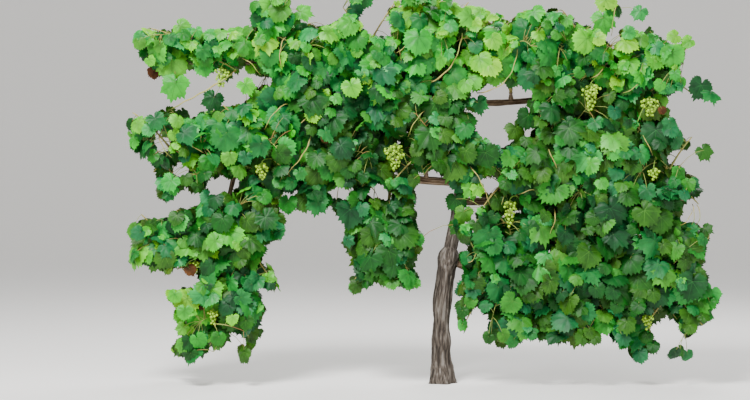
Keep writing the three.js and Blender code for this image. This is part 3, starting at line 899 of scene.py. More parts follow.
def leaf_shape(seed):
    random = seeded(seed)
    rim = LOBED if random() < 0.45 else ROUND
    droop, fold, curl = draws(random, (0.10, 0.60), (-0.35, 0.50), (-0.15, 0.65))
    pucker, ripple, twist = draws(random, (0.04, 0.09), (0.03, 0.10), (-0.4, 0.4))
    waves, phase = 3 + int(3 * random()), 6.3 * random()
    folded = np.minimum(LEAF_ANGLES, 360 - LEAF_ANGLES)
    reach = np.interp(folded, [angle for angle, _ in rim], [far for _, far in rim]) * RING_REACH[LEAF_RINGS]
    reach = reach * draws(random, *[(0.95, 1.05)] * len(reach))
    turn = np.radians(LEAF_ANGLES)
    x, y = reach * np.sin(turn), reach * np.cos(turn)
    off_vein = np.min([np.abs((LEAF_ANGLES - vein + 180) % 360 - 180) for vein in VEINS], axis=0)
    bulge = pucker * np.sin(np.radians(np.minimum(off_vein, 30) * 3)) * (LEAF_RINGS == 1)
    z = 0.02 + bulge - droop * reach**2 + fold * np.abs(x) * reach - curl * np.maximum(y, 0) ** 2
    z = z + ripple * np.sin(waves * turn + phase) * reach + twist * x * y
    corners = np.stack([x, y, z], axis=1)
    return {"corners": corners, "triangles": LEAF_TRIANGLES, "edge": RING_REACH[LEAF_RINGS] / RING_REACH[-1]}


def corner_of(ring, angle):
    return int(np.argmin(np.abs(LEAF_ANGLES - angle) + 1000 * (LEAF_RINGS != ring)))


LEAVES = [leaf_shape(401 + i) for i in range(LEAF_SHAPES)]
print("widths of the leaf shapes:", [round(float(np.ptp(leaf["corners"][:, 0])), 2) for leaf in LEAVES])

# %% [markdown]
# ## Veins
# The veins of a vine leaf are pale ribs. They are thin strips, one just above the blade and one just below
# it, from the stalk through the middle of each lobe to its tip.

# %% Vein strips
VEIN_WIDTHS = (0.011, 0.006)
VEIN_LIFT = 0.005
LEAF_MIDDLE = int(np.argmin(LEAF_RINGS))


def vein_strips(leaf):
    corners, triangles = [], []
    for vein in VEINS:
        root, middle, tip = leaf["corners"][[LEAF_MIDDLE, corner_of(1, vein), corner_of(3, vein)]]
        aside = unit(np.cross(tip - root, UP))
        for lift in (VEIN_LIFT, -VEIN_LIFT):
            base = len(corners) * 5
            wide, narrow = (aside * width for width in VEIN_WIDTHS)
            strip = np.array([root + wide, root - wide, middle + narrow, middle - narrow, tip])
            corners.append(strip + UP * lift)
            turn = 1 if lift < 0 else -1
            triangles += [[base + i for i in corner[::turn]] for corner in ((0, 1, 3), (0, 3, 2), (2, 3, 4))]
    corners = np.concatenate(corners)
    return {"corners": corners, "triangles": np.array(triangles), "edge": np.full(len(corners), 0.7)}


VEIN_SHAPES = [vein_strips(leaf) for leaf in LEAVES]
print("its veins have", len(VEIN_SHAPES[0]["triangles"]), "triangles")

# %% [markdown]
# ## What leaves keep clear of
# The young bunches hang free in front, so leaves keep clear of them. A few long canes also show in front of
# the leaves.

# %% Bunches
BUNCH_FRONT = -0.150
# The room kept free round a bunch, as shares of its width, its width again and its length.
BUNCH_ROOM = (0.62, 0.7, 0.58)
# Each bunch as the x and z of its top, its length and its width, in millimetres.
BUNCH_SIZES = np.array([
    (-952, 1370, 100, 60), (-778, 962, 88, 56), (-1066, 540, 62, 40), (-989, 330, 78, 44),
    (-206, 1040, 124, 88), (636, 1300, 128, 78), (890, 1240, 92, 80), (288, 800, 124, 54),
    (907, 940, 64, 54), (881, 310, 78, 54),
]) / 1000
BUNCHES = [
    {"top": stands_at(x, z, BUNCH_FRONT), "length": length, "width": width}
    for x, z, length, width in BUNCH_SIZES
]


def hides_bunch(points):
    """Whether points of a leaf lie in a bunch or in front of it."""
    beside, before, level = BUNCH_ROOM
    for bunch in BUNCHES:
        x, y, z = (points - bunch["top"]).T
        in_width = np.abs(x) < bunch["width"] * beside
        in_height = np.abs(z + bunch["length"] / 2) < bunch["length"] * level
        if (in_width & in_height & (y < bunch["width"] * before)).any():
            return True
    return False


print(len(BUNCHES), "bunches")

# %% Long canes
# Each long cane as the x and z of its two ends, its bow to the right and its radius, in millimetres.
LONG_CANES = np.array([
    (-912, 1340, -1172, 1190, -9, 3.4), (-868, 1410, -787, 1337, -8, 1.8), (-680, 1501, -697, 1359, 12, 2),
    (-568, 1075, -675, 907, -16, 2.3), (-1225, 1084, -1174, 980, 8, 2), (-73, 1183, -150, 1071, 10, 2),
    (-47, 1307, 86, 1518, 34, 2.9), (151, 1260, 327, 1458, 55, 2.4), (120, 942, 206, 770, -8, 1.9),
    (460, 1019, 499, 929, 8, 2.2), (783, 1260, 851, 1303, 5, 1.8), (-202, 1432, -142, 1479, 6, 2),
    (112, 525, 146, 572, 5, 1.7), (486, 757, 434, 602, -12, 2), (868, 1079, 911, 989, 8, 1.8),
    (-671, 1213, -770, 1101, 12, 2.1), (-585, 1152, -636, 1114, -5, 1.8), (-1092, 1045, -1028, 998, 5, 1.6),
    (641, 1324, 697, 1367, 6, 1.8), (752, 1630, 731, 1509, 10, 1.8), (400, 838, 331, 821, 6, 1.7),
    (1084, 778, 1081, 688, 3, 1.7), (1103, 774, 1100, 688, -3, 1.7), (1030, 686, 1080, 756, 4, 1.6),
]) / 1000
LONG_CANE_FRONT = -0.185
LONG_CANE_ENDS = 0.05
KINK = 0.0016
KINK_SPACING = 0.07
LEAF_TO_CANE = 0.009


def long_cane_path(x0, z0, x1, z1, bow):
    """A long cane bows to one side, kinks a little at its nodes and ends back in the leaves."""
    x0, _, z0 = stands_at(x0, z0, LONG_CANE_FRONT)
    x1, _, z1 = stands_at(x1, z1, LONG_CANE_FRONT)
    t = np.linspace(0, 1, CANE_RINGS)
    length = math.hypot(x1 - x0, z1 - z0)
    aside = bow * np.sin(math.pi * t**0.85) + KINK * np.sin(2 * math.pi * t * length / KINK_SPACING)
    x = mix(x0, x1, t) + aside * (z1 - z0) / length
    z = mix(z0, z1, t) - aside * (x1 - x0) / length
    return np.stack([x, LONG_CANE_FRONT + LONG_CANE_ENDS * (2 * t - 1) ** 4, z], axis=1)


LONG_CANE_PATHS = [long_cane_path(*row[:5]) for row in LONG_CANES]
LONG_CANE_PLACES = np.concatenate(LONG_CANE_PATHS)


def hides_long_cane(points):
    """Whether a leaf would stand before a long cane, as the camera sees it."""
    x, z = as_seen(points)
    cane_x, cane_z = as_seen(LONG_CANE_PLACES)
    close = np.hypot(x[:, None] - cane_x, z[:, None] - cane_z) < LEAF_TO_CANE
    return bool((close & (points[:, 1, None] < LONG_CANE_PLACES[:, 1] + 0.012)).any())


print(len(LONG_CANES), "long canes")

# %% [markdown]
# ## Where the leaves grow
# Leaves stand on a shaken grid through each space, in layers from the front to the back. Each belongs to
# the nearest cane or side twig, leans away from it and hangs tip down, with its face to the light. A leaf
# that would leave the crown, touch old wood or close an open place is skipped. All that grow on one twig
# are one spray.

# %% Layers of leaves and the outline of the crown
# How far apart leaves stand in each tier, and the widths of its narrowest and widest leaf.
LEAF_STEPS = {"top": 0.047, "middle": 0.051, "lower": 0.051}
LEAF_WIDTHS = {"top": (0.045, 0.114), "middle": (0.051, 0.126), "lower": (0.053, 0.126)}
# Each layer's place and spread in depth, the side that it faces, and the share of its places with a leaf.
LAYERS = (
    (-0.192, 0.026, FRONT, 0.62), (-0.142, 0.030, FRONT, 0.86), (-0.065, 0.040, FRONT, 1.0),
    (0.030, 0.036, BACK, 1.0), (0.096, 0.026, BACK, 0.9),
)
INNER_LAYERS = (2, 3)
LONGEST_STALK = 0.125
SHORTEST_STALK = 0.012
OVERHANG = 0.060
LEAF_TRIES = 9
NEAR_WOOD = 0.16
# Above one, narrow leaves outnumber wide ones.
NARROW_LEAVES = 1.4

SPACES = np.array([mass["space"] for mass in MASSES])


def astray(points):
    """The points moved a few centimetres by slow waves, so that the straight borders of spaces wander."""
    x, z = points[:, 0], points[:, 2]
    moved_x = x + 0.020 * np.sin(19 * z + 2 * np.sin(11 * x)) + 0.010 * np.sin(47 * z + 31 * x)
    moved_z = z + 0.020 * np.sin(23 * x + 2 * np.sin(13 * z)) + 0.010 * np.sin(53 * x - 41 * z)
    return moved_x, moved_z


def in_crown(points):
    """Whether all points lie in the depth of the crown and within its wandering outline."""
    x, z = (moved[:, None] for moved in astray(points))
    left, right, bottom, top = SPACES.T
    in_a_space = ((x > left) & (x < right) & (z > bottom) & (z < top)).any(axis=1)
    return bool((in_a_space & in_depth(points)).all())


print(len(LAYERS), "layers of leaves")

# %% How a leaf sits
# How much a leaf leans away from its twig and hangs, and by how much its tip and its face point elsewhere.
AWAY = 0.5
HANG = 0.7
TIP_SPANS = ((-0.7, 0.7), (-0.35, 0.25), (-0.3, 0.3))
FACE_SPANS = ((0.0, 1.3), (-0.9, 0.9))


def squared(along, face):
    """Across, along and face of a leaf, as three rows at right angles."""
    along = unit(along)
    face = unit(face - along * np.dot(face, along))
    return np.array([np.cross(along, face), along, face])


def leaf_axes(joint, twig_place, outward, random):
    """A leaf leans away from its twig, hangs tip down and faces outwards and up, all by chance."""
    along = unit(joint - twig_place + 1e-9) * AWAY - UP * HANG
    along = along + draws(random, *TIP_SPANS)
    upwards, sideways = draws(random, *FACE_SPANS)
    return squared(along, outward + UP * upwards + np.array((sideways, 0, 0)))


def leaf_at(joint, axes, width, source, random, **more):
    """A leaf whose stalk comes from a source, with a number of luck."""
    return {"joint": joint, "axes": axes, "width": width, "from": source, "luck": random(), **more}


pattern_spots = (LEAF_RINGS != 2) & (LEAF_RINGS > 0)
SPOTS = LEAVES[0]["corners"][pattern_spots][::2]


def leaf_fits(mass, joint, axes, width):
    spots = joint + (SPOTS * width) @ axes
    if not in_crown(spots) or not inside(mass["space"], spots, OVERHANG).all():
        return False
    if closes_open_place(spots) or hides_bunch(spots) or hides_long_cane(spots):
        return False
    return clearance(spots, *mass["near_wood"]) > LIMB_CLEARANCE


print("a leaf is tested at", len(SPOTS), "spots")

# %% Leaves of each mass
def twig_places(mass):
    """Places along a mass's canes and side twigs, and the number of the spray of each."""
    places, sprays = [], []
    for number, line in enumerate(mass["shoots"] + mass["twigs"]):
        t = np.linspace(0.15, 1, 9)
        places.append(smooth_bend(*line, t))
        sprays.append(np.full(9, number))
    return np.concatenate(places), np.concatenate(sprays)


def grow_leaf(mass, places, sprays, joint, outward, width, random):
    """A leaf at a joint, or None where it can't grow."""
    nearest, gap = nearest_of(places, joint)
    if not SHORTEST_STALK < gap < LONGEST_STALK:
        return None
    axes = leaf_axes(joint, places[nearest], outward, random)
    if not leaf_fits(mass, joint, axes, width):
        return None
    return leaf_at(joint, axes, width, places[nearest], random, spray=int(sprays[nearest]))


def leaves_of(mass, index):
    """A mass's leaves: some tries for each place of each layer, until a leaf fits there."""
    random = seeded(index + 501)
    left, right, bottom, top = mass["space"]
    near = inside(mass["space"], wood_places, NEAR_WOOD)
    mass["near_wood"] = (wood_places[near], wood_radii[near])
    columns = round((right - left) / LEAF_STEPS[mass["tier"]])
    rows = round((top - bottom) / LEAF_STEPS[mass["tier"]])
    places, sprays = twig_places(mass)
    kept = []
    for depth, (middle, spread, outward, share) in enumerate(LAYERS):
        for row, column in itertools.product(range(rows), range(columns)):
            tries = LEAF_TRIES if random() < share else 0
            for _ in range(tries):
                u = (column + 0.25 + 0.5 * ((row + depth) % 2) + mix(-0.4, 0.4, random())) / columns
                v = (row + 0.75 + mix(-0.45, 0.45, random())) / rows
                y = middle + mix(-1, 1, random()) * spread
                width = mix(*LEAF_WIDTHS[mass["tier"]], random() ** NARROW_LEAVES)
                joint = np.array((mix(left, right, u), y, mix(bottom, top, v)))
                leaf = grow_leaf(mass, places, sprays, joint, outward, width, random)
                if leaf:
                    kept.append(leaf | {"inner": depth in INNER_LAYERS})
                    break
    return kept


grow_all("leaves", leaves_of)

# %% [markdown]
# ## Young leaves at the tips
# Every shoot ends in a tuft of small, folded leaves that are still yellow-green where the sun reaches them.
# In the shade they are painted a bluer lush green, as painted shade. They are the brightest spots of the
# crown.

# %% Tip leaves
TIP_LEAVES = 5
TIP_LEAF_WIDTHS = (0.026, 0.052)


def tip_leaves(mass, index):
    random = seeded(index + 901)
    tips = [(shoot[2], unit(shoot[2] - shoot[1])) for shoot in mass["shoots"] if shoot[2][1] < 0.02]
    kept = []
    for place, ahead in tips:
        for _ in range(TIP_LEAVES):
            aside = draws(random, (-1, 1), (-1.2, 0.1), (-0.6, 1))
            away, width = draws(random, (0.012, 0.045), TIP_LEAF_WIDTHS)
            joint = place + unit(ahead + aside) * away
            axes = leaf_axes(joint, place, FRONT, random)
            if leaf_fits(mass, joint, axes, width):
                kept.append(leaf_at(joint, axes, width, place, random, inner=False))
    return kept


grow_all("tip_leaves", tip_leaves)

# %% [markdown]
# ## Leaves that stand out
# A few leaves are seen on their own, at the rim of the crown and in its gaps. They are given one by one,
# with the way their tips point, as turned from straight down.

# %% Single leaves
# Each as x, z, depth and width in millimetres, the turn of its tip in degrees, and its green. Their greens
# paint light and shade like the dealt ones: deep for leaves in shadow, fresh and lush for sunlit spots.
SINGLE_LEAVES = [
    (-1170, 1400, -150, 128, 8, "fresh"), (-1150, 1300, -165, 112, -12, "fresh"),
    (-985, 1235, -150, 88, -20, "deep"), (-1130, 1545, -140, 72, 60, "fresh"),
    (-1030, 1380, -150, 80, 10, "fresh"), (-700, 1640, -120, 66, 30, "young"),
    (-610, 1605, -120, 74, 80, "fresh"), (-340, 1670, -130, 80, -5, "mid"),
    (700, 1655, -130, 85, 25, "young"), (690, 1580, -130, 100, 10, "fresh"),
    (850, 1610, -110, 68, -35, "fresh"), (1000, 1500, -110, 60, -70, "young"),
    (1060, 1480, -110, 56, -60, "young"), (1110, 1290, -150, 95, -20, "deep"),
    (1120, 1010, -150, 70, 30, "deep"), (1150, 400, -150, 90, -25, "fresh"),
    (1050, 265, -140, 78, 50, "mid"), (150, 850, -150, 60, 15, "young"),
    (-850, 1292, -160, 74, 35, "young"), (-560, 1170, -200, 66, 20, "young"),
    (-395, 1290, -205, 80, 20, "young"), (370, 1330, -150, 90, -15, "mid"),
    (420, 1275, -150, 84, 10, "mid"), (368, 1160, -80, 92, -10, "deep"), (310, 1105, -70, 90, 20, "deep"),
    (395, 1215, -100, 70, 25, "deep"), (150, 1215, -120, 80, 15, "mid"), (225, 1335, -140, 78, 5, "fresh"),
    (300, 1325, -120, 72, -20, "deep"), (75, 885, -110, 92, -8, "mid"), (120, 855, -130, 82, 18, "fresh"),
    (55, 800, -100, 86, 8, "deep"), (90, 745, -120, 78, -14, "mid"), (60, 690, -110, 70, 12, "deep"),
    (-540, 790, -120, 92, -10, "mid"), (-600, 800, -100, 88, 14, "deep"), (-665, 790, -110, 80, -6, "mid"),
    (768, 1040, -160, 80, 40, "lush"), (742, 992, -160, 92, -25, "lush"), (848, 1004, -160, 84, 20, "lush"),
    (760, 866, -160, 98, 5, "lush"), (1096, 604, -140, 70, -15, "fresh"),
    (1072, 640, -140, 52, 35, "young"), (990, 470, -150, 74, 10, "fresh"),
    (1040, 405, -150, 90, -12, "lush"), (962, 392, -150, 78, 18, "fresh"),
]
DRY_LEAVES = [
    (-1255, 1112, -150, 52, 15), (-1243, 1352, -110, 54, 5), (-1090, 500, -170, 50, 40),
    (-1035, 345, -150, 36, -30), (942, 1186, -160, 34, 20), (-500, 1066, -190, 40, -50),
    (-916, 654, -170, 40, 60),
]


def single_leaf(x, z, y, width, turn, green, number):
    random = seeded(number + 951)
    x, z, y, width = (millimetres / 1000 for millimetres in (x, z, y, width))
    joint = stands_at(x, z, y)
    mass = min(MASSES, key=lambda m: abs(mix(*m["space"][:2], 0.5) - x) + abs(mix(*m["space"][2:], 0.5) - z))
    places, _ = twig_places(mass)
    source = places[nearest_of(places, joint)[0]]
    tilt = math.radians(turn)
    along = np.array((math.sin(tilt), -0.2, -math.cos(tilt)))
    face = FRONT + UP * 0.35 + np.array((mix(-0.3, 0.3, random()), 0, 0))
    return leaf_at(joint, squared(along, face), width, source, random, green=green, tier=mass["tier"])


single_leaves = [single_leaf(*leaf, number) for number, leaf in enumerate(SINGLE_LEAVES)]
dry_leaves = [single_leaf(*leaf, "dry", number + 50) for number, leaf in enumerate(DRY_LEAVES)]
print(len(single_leaves), "single leaves and", len(dry_leaves), "dry ones")

# %% [markdown]
# ## Leaf finishes
# A leaf's green stands for its age and for painted light and shade. Painted shade makes leaves dark inside
# the crown and deep, cool or lush in its shaded parts. Painted sun makes them fresh where the sun reaches.
# Young leaves, at sunlit growing tips and in sunlit sprays, are yellow-green, and dry ones are brown. Each
# green is its own plain material, dealt out spray by spray. Faint mottling and a number of luck per leaf
# keep any two from looking alike. The underside is paler, and darkened as painted shade. The middle of each
# leaf is painted darker and bluer and its rim brighter, as the painted shade and light of a cupped blade.

# %% Leaf materials
# Painted light and shade of a cupped leaf: its middle darker and bluer, its rim brighter.
PAINTED_CUP_SHADING = [(0.0, (0.66, 0.70, 0.80)), (0.55, (0.84, 0.86, 0.9)), (1.0, (1.15, 1.12, 1.0))]


def leaf_material(
    name, light, dark, under, roughness=0.5, specular=0.2, values=(1.35, 0.62), hues=(0.475, 0.545)
):
    """A leaf's finish. Its luck deals it a hue and a brightness, and its rim is painted brighter than its
    middle, as the painted light and shade of a cupped leaf.
    """
    material, tree, shader = new_material(name, roughness, specular)
    place = object_place(tree)
    mottle = plain_noise(tree, place, Scale=22.0, Detail=5.0, Roughness=0.6)
    colour = ramp(tree, mottle, [(0.36, dark), (0.62, light)])
    luck = attribute(tree, "luck")
    hue, value = (ranged(tree, luck, To_Min=low, To_Max=high) for low, high in (hues, values))
    vary = add_node(tree, "ShaderNodeHueSaturation", Hue=hue, Value=value, Color=colour).outputs["Color"]
    lit = blend(tree, 1.0, vary, ramp(tree, attribute(tree, "edge"), PAINTED_CUP_SHADING), "MULTIPLY")
    # The underside has its own colour: paler than the top, and darkened as painted shade.
    behind = tree.nodes.new("ShaderNodeNewGeometry").outputs["Backfacing"]
    sides = blend(tree, behind, lit, (*under, 1))
    crinkle = plain_noise(tree, place, Scale=130.0, Detail=3.0)
    set_surface(tree, shader, sides, crinkle, strength=0.5, depth=0.0015)
    return material


LEAF_FINISHES = {
    # The inner green is painted shade: a dark olive for leaves inside the crown, where shade falls.
    "inner": ((0.027, 0.098, 0.004), (0.013, 0.050, 0.002), (0.030, 0.085, 0.005), {}),
    "deep": ((0.014, 0.098, 0.005), (0.007, 0.048, 0.003), (0.019, 0.074, 0.006), {}),
    "cool": ((0.014, 0.200, 0.017), (0.007, 0.110, 0.009), (0.022, 0.120, 0.014), {}),
    "mid": ((0.019, 0.195, 0.010), (0.010, 0.108, 0.006), (0.030, 0.125, 0.012), {}),
    "lush": (
        (0.028, 0.335, 0.021), (0.015, 0.205, 0.013), (0.045, 0.195, 0.016),
        {"specular": 0.32, "values": (1.3, 0.66), "hues": (0.485, 0.545)},
    ),
    "fresh": (
        (0.045, 0.390, 0.011), (0.024, 0.240, 0.008), (0.060, 0.215, 0.014),
        {"specular": 0.32, "values": (1.2, 0.66)},
    ),
    "young": (
        (0.180, 0.480, 0.003), (0.105, 0.350, 0.003), (0.15, 0.33, 0.015),
        {"specular": 0.32, "values": (1.15, 0.8), "hues": (0.495, 0.55)},
    ),
    "dry": (
        (0.092, 0.036, 0.011), (0.038, 0.016, 0.006), (0.07, 0.035, 0.013),
        {"roughness": 0.7, "specular": 0.1, "hues": (0.49, 0.52)},
    ),
}
GREENS = {
    green: leaf_material("leaf_" + green, *colours, **finish)
    for green, (*colours, finish) in LEAF_FINISHES.items()
}
RIB = leaf_material("leaf_rib", (0.040, 0.175, 0.017), (0.024, 0.120, 0.012), (0.05, 0.15, 0.025))
print(len(GREENS), "leaf finishes and one for veins")

# %% Painted sun and shade
# The share of each green in full shade and in full sun. This sun and shade are painted into the leaves'
# base colours: darker greens where shade falls, brighter ones where the sun reaches.
SHARES = (
    ("deep", 0.66, 0.04), ("cool", 0.25, 0.05), ("mid", 0.06, 0.26),
    ("lush", 0.03, 0.04), ("fresh", 0.0, 0.49), ("young", 0.0, 0.12),
)
# The share of inner leaves that take the dark inner green, as painted shade.
INNER_SHARES = {"top": 0.15, "middle": 0.6, "lower": 0.6}
TIP_LEAF_SUN = 0.3
# For each tier, two heights and the painted sun there.
SUN_BY_HEIGHT = {
    "top": ((1.29, 1.44), (0.65, 1.1)),
    "middle": ((0.96, 1.09), (0.42, 1.0)),
    "lower": ((0.30, 0.80), (0.55, 0.65)),
}
SHADE_STARTS = -0.45
INNER_SHADE = 0.38


def sun_on(mass, leaf):
    """Painted sun on a leaf, from 0 to about 1. Below the top tier the right is painted in full shade."""
    left, right, _, _ = mass["space"]
    if mass["tier"] != "top" and (left + right) / 2 > SHADE_STARTS:
        return 0.0
    heights, suns = SUN_BY_HEIGHT[mass["tier"]]
    return max(0.0, np.interp(leaf["joint"][2], heights, suns) - INNER_SHADE * leaf["inner"])


def green_for(sun, chance):
    for green, in_shade, in_sun in SHARES:
        share = mix(in_shade, in_sun, sun)
        if chance < share:
            return green
        chance -= share
    return "mid"


print("shares in all, in shade and in sun:", [round(sum(row[i] for row in SHARES), 2) for i in (1, 2)])

# %% Leaves and stalks as shapes
STALK_RADII = (0.0016, 0.0012, 0.0011, 0.0013)
STALK_ARCH = 0.25


def placed(shapes, leaves):
    """Joins a copy of each leaf's shape at its place, with the luck and the edge of each corner."""
    made, lucks, edges = [], [], []
    for number, shape in enumerate(shapes):
        chosen = [leaf for leaf in leaves if int(leaf["luck"] * 997) % len(shapes) == number]
        if chosen:
            axes = np.array([leaf["axes"] * leaf["width"] for leaf in chosen])
            joints = np.array([leaf["joint"] for leaf in chosen])
            points = np.einsum("vk,lkj->lvj", shape["corners"], axes) + joints[:, None]
            made.append(repeat_shape(points, shape["triangles"]))
            lucks.append(np.repeat([leaf["luck"] for leaf in chosen], len(shape["corners"])))
            edges.append(np.tile(shape["edge"], len(chosen)))
    return join_shapes(made), {"luck": np.concatenate(lucks), "edge": np.concatenate(edges)}


def stalks(leaves):
    """Leaf stalks, curved up from the twig and over to the blade."""
    t = np.linspace(0, 1, 4)[None, :, None]
    start = np.array([leaf["from"] for leaf in leaves])[:, None]
    end = np.array([leaf["joint"] + leaf["axes"][2] * leaf["width"] * 0.02 for leaf in leaves])[:, None]
    arch = mix(start, end, 0.5) + UP * STALK_ARCH * np.linalg.norm(end - start, axis=2, keepdims=True)
    paths = curve(start, arch, end, t)
    return tubes(paths, np.broadcast_to(STALK_RADII, paths.shape[:2]), sides=4)


def leaf_piece(name, shapes, leaves, material, nodes):
    shape, numbers = placed(shapes, leaves)
    piece = joined_piece(name, shape, material, nodes)
    for label, values in numbers.items():
        layer = piece.data.attributes.new(label, "FLOAT", "POINT")
        layer.data.foreach_set("value", values.astype(np.float32))


print("a leaf with its veins has", len(LEAF_TRIANGLES) + len(VEIN_SHAPES[0]["triangles"]), "triangles")

# %% Leaf pieces by tier and colour
# The share of leaves that take the green of their whole spray, and not one of their own.
SPRAY_GREEN = 0.55


def deal_greens(mass, random):
    """Gives each leaf of a mass its green by the painted sun and shade there, mostly spray by spray."""
    chances = {}
    for leaf in mass["leaves"]:
        chances.setdefault(leaf["spray"], random())
        chance = chances[leaf["spray"]] if random() < SPRAY_GREEN else random()
        leaf["green"] = green_for(sun_on(mass, leaf), chance)
        # Inner leaves may take the dark inner green, as painted shade.
        if leaf["inner"] and random() < INNER_SHARES[mass["tier"]]:
            leaf["green"] = "inner"
    # Tip leaves are young and yellow-green in painted sun, and painted a bluer lush green in shade.
    for leaf in mass["tip_leaves"]:
        leaf["green"] = "young" if sun_on(mass, leaf) > TIP_LEAF_SUN else "lush"


for tier in TIERS:
    members = [mass for mass in MASSES if mass["tier"] == tier]
    nodes = [mass["name"] for mass in members]
    leaves = [leaf for leaf in single_leaves + dry_leaves if leaf["tier"] == tier]
    for number, mass in enumerate(members):
        deal_greens(mass, seeded(number + 601))
        leaves += mass["leaves"] + mass["tip_leaves"]
    for green, material in GREENS.items():
        chosen = [leaf for leaf in leaves if leaf["green"] == green]
        if chosen:
            leaf_piece(f"{tier}_leaves_{green}", LEAVES, chosen, material, nodes)
    veined = [leaf for leaf in leaves if leaf["green"] != "dry"]
    leaf_piece(f"{tier}_leaf_veins", VEIN_SHAPES, veined, RIB, nodes)
    joined_piece(f"{tier}_leaf_stalks", stalks(leaves), STALK_SKIN, nodes)

# %% [markdown]
# ## Long canes in front
# Some of this year's canes show in front of the leaves, yellow-tan and bowed, with a swelling at each node.

# %% Long cane piece
NODE_SPACING = 0.06
LONG_CANE_SWELL = (0.45, 0.12)


def long_cane_radii(path, radius):
    nodes_along = max(2, round(np.linalg.norm(path[-1] - path[0]) / NODE_SPACING))
    t = np.linspace(0, 1, len(path))
    return radius * mix(1.0, 0.65, t) * swollen(t, nodes_along, *LONG_CANE_SWELL)


long_radii = [long_cane_radii(path, row[-1]) for path, row in zip(LONG_CANE_PATHS, LONG_CANES)]
joined_piece("long_canes", tubes(LONG_CANE_PATHS, long_radii, sides=7), CANE_SKIN, MASS_NODES)

# %% [markdown]
# ## Berries
# A bunch is a stalk with berries all round it, wide at its shoulders and narrow at its tip. The berries are
# placed on a spiral, each on a short stalk of its own. A berry is a small icosphere, copied into one joined
# mesh.

# %% Material: young berries
def berry_material():
    material, tree, shader = new_material("berry_skin", roughness=0.32, specular=0.5)
    mottle = plain_noise(tree, object_place(tree), Scale=90.0, Detail=3.0)
    colour = ramp(tree, mottle, [(0.3, (0.19, 0.40, 0.012)), (0.7, (0.42, 0.66, 0.035))])
    tree.links.new(colour, shader.inputs["Base Color"])
    shader.inputs["Subsurface Weight"].default_value = 0.15
    shader.inputs["Subsurface Radius"].default_value = (0.004, 0.006, 0.002)
    return material


BERRY_SKIN = berry_material()
BUNCH_STALK_SKIN = cane_material(
    "bunch_stalk_skin", (0.22, 0.40, 0.05), (0.13, 0.27, 0.03), (0.28, 0.36, 0.06)
)
print("materials", BERRY_SKIN.name, BUNCH_STALK_SKIN.name)

# %% Berries of a bunch
BERRY_RADIUS = 0.0062
BERRY_TRIES = 12
BERRIES_PER_SQUARE_METRE = 5600
GOLDEN_TURN = math.radians(137.5)
BERRY_OVERLAP = 0.88
# How wide a bunch is, from its top down.
SHOULDER_PLACES = (0, 0.12, 0.4, 0.62, 1)
SHOULDER_WIDTHS = (0.55, 1.05, 0.95, 0.58, 0.22)


def berry_prototype():
    bm = bmesh.new()
    bmesh.ops.create_icosphere(bm, subdivisions=2, radius=1)
    return arrays_of(bm)


def bunch_berries(bunch, seed):
    """Centres and radii of the berries of a bunch, and the place on its stalk that each hangs from."""
    random = seeded(seed)
    wanted = round(bunch["length"] * bunch["width"] * BERRIES_PER_SQUARE_METRE)
    x, y, top = bunch["top"]
    centres, radii, roots = [], [], []
    for i in range(BERRY_TRIES * wanted):
        down = random() ** 1.25
        shoulder = np.interp(down, SHOULDER_PLACES, SHOULDER_WIDTHS)
        reach = bunch["width"] / 2 * shoulder * mix(0.35, 1.0, math.sqrt(random()))
        turn = i * GOLDEN_TURN
        z = top - 0.012 - down * (bunch["length"] - 0.02)
        centre = np.array((x + reach * math.cos(turn), y + reach * math.sin(turn), z))
        radius = BERRY_RADIUS * mix(0.80, 1.15, random())
        crowded = any(
            np.linalg.norm(centre - other) < (radius + r) * BERRY_OVERLAP for other, r in zip(centres, radii)
        )
        if not crowded and len(centres) < wanted:
            centres.append(centre)
            radii.append(radius)
            roots.append((x, y, z + 0.008 + 0.3 * reach))
    return np.array(centres), np.array(radii), np.array(roots)


def nearest_cane_place(point):
    steps = np.linspace(0.1, 1, 16)
    places = np.concatenate([smooth_bend(*shoot, steps) for mass in MASSES for shoot in mass["shoots"]])
    return places[nearest_of(places, point)[0]]


berry_corners, berry_triangles = berry_prototype()
print("a berry has", len(berry_triangles), "triangles")

# %% Bunch pieces
berry_shapes, rachis_paths, pedicel_paths = [], [], []
for number, bunch in enumerate(BUNCHES):
    centres, radii, roots = bunch_berries(bunch, 701 + number)
    points = berry_corners[None] * radii[:, None, None] + centres[:, None]
    berry_shapes.append(repeat_shape(points, berry_triangles))
    t = np.linspace(0, 1, 4)[None, :, None]
    pedicel_paths.append(mix(roots[:, None], centres[:, None], t))
    top = bunch["top"]
    foot = top - UP * (bunch["length"] - 0.014)
    source = nearest_cane_place(top)
    arch = mix(source, top, 0.5) + UP * 0.015
    reach = smooth_bend(source, arch, top, np.linspace(0, 1, 7))
    rachis_paths.append(np.concatenate([reach[:-1], mix(top, foot, np.linspace(0, 1, 6)[:, None])]))
pedicel_paths = np.concatenate(pedicel_paths)
pedicel_radii = np.full(pedicel_paths.shape[:2], 0.0008)
rachis_radii = np.tile(np.linspace(0.0021, 0.0011, 12), (len(BUNCHES), 1))
joined_piece("berries", join_shapes(berry_shapes), BERRY_SKIN, MASS_NODES)
pedicels = tubes(pedicel_paths, pedicel_radii, sides=4)
rachises = tubes(rachis_paths, rachis_radii, sides=6)
bunch_stalks = join_shapes([pedicels, rachises])
joined_piece("bunch_stalks", bunch_stalks, BUNCH_STALK_SKIN, MASS_NODES)

# %% [markdown]
# ## Tendrils
# A vine holds on by tendrils: thin threads that reach out straight and then wind up. Each leaves the end of
# a side twig.

# %% Tendrils
TENDRIL_SHARE = 0.22
TENDRIL_RINGS = 18
STRAIGHT_PART = 0.35


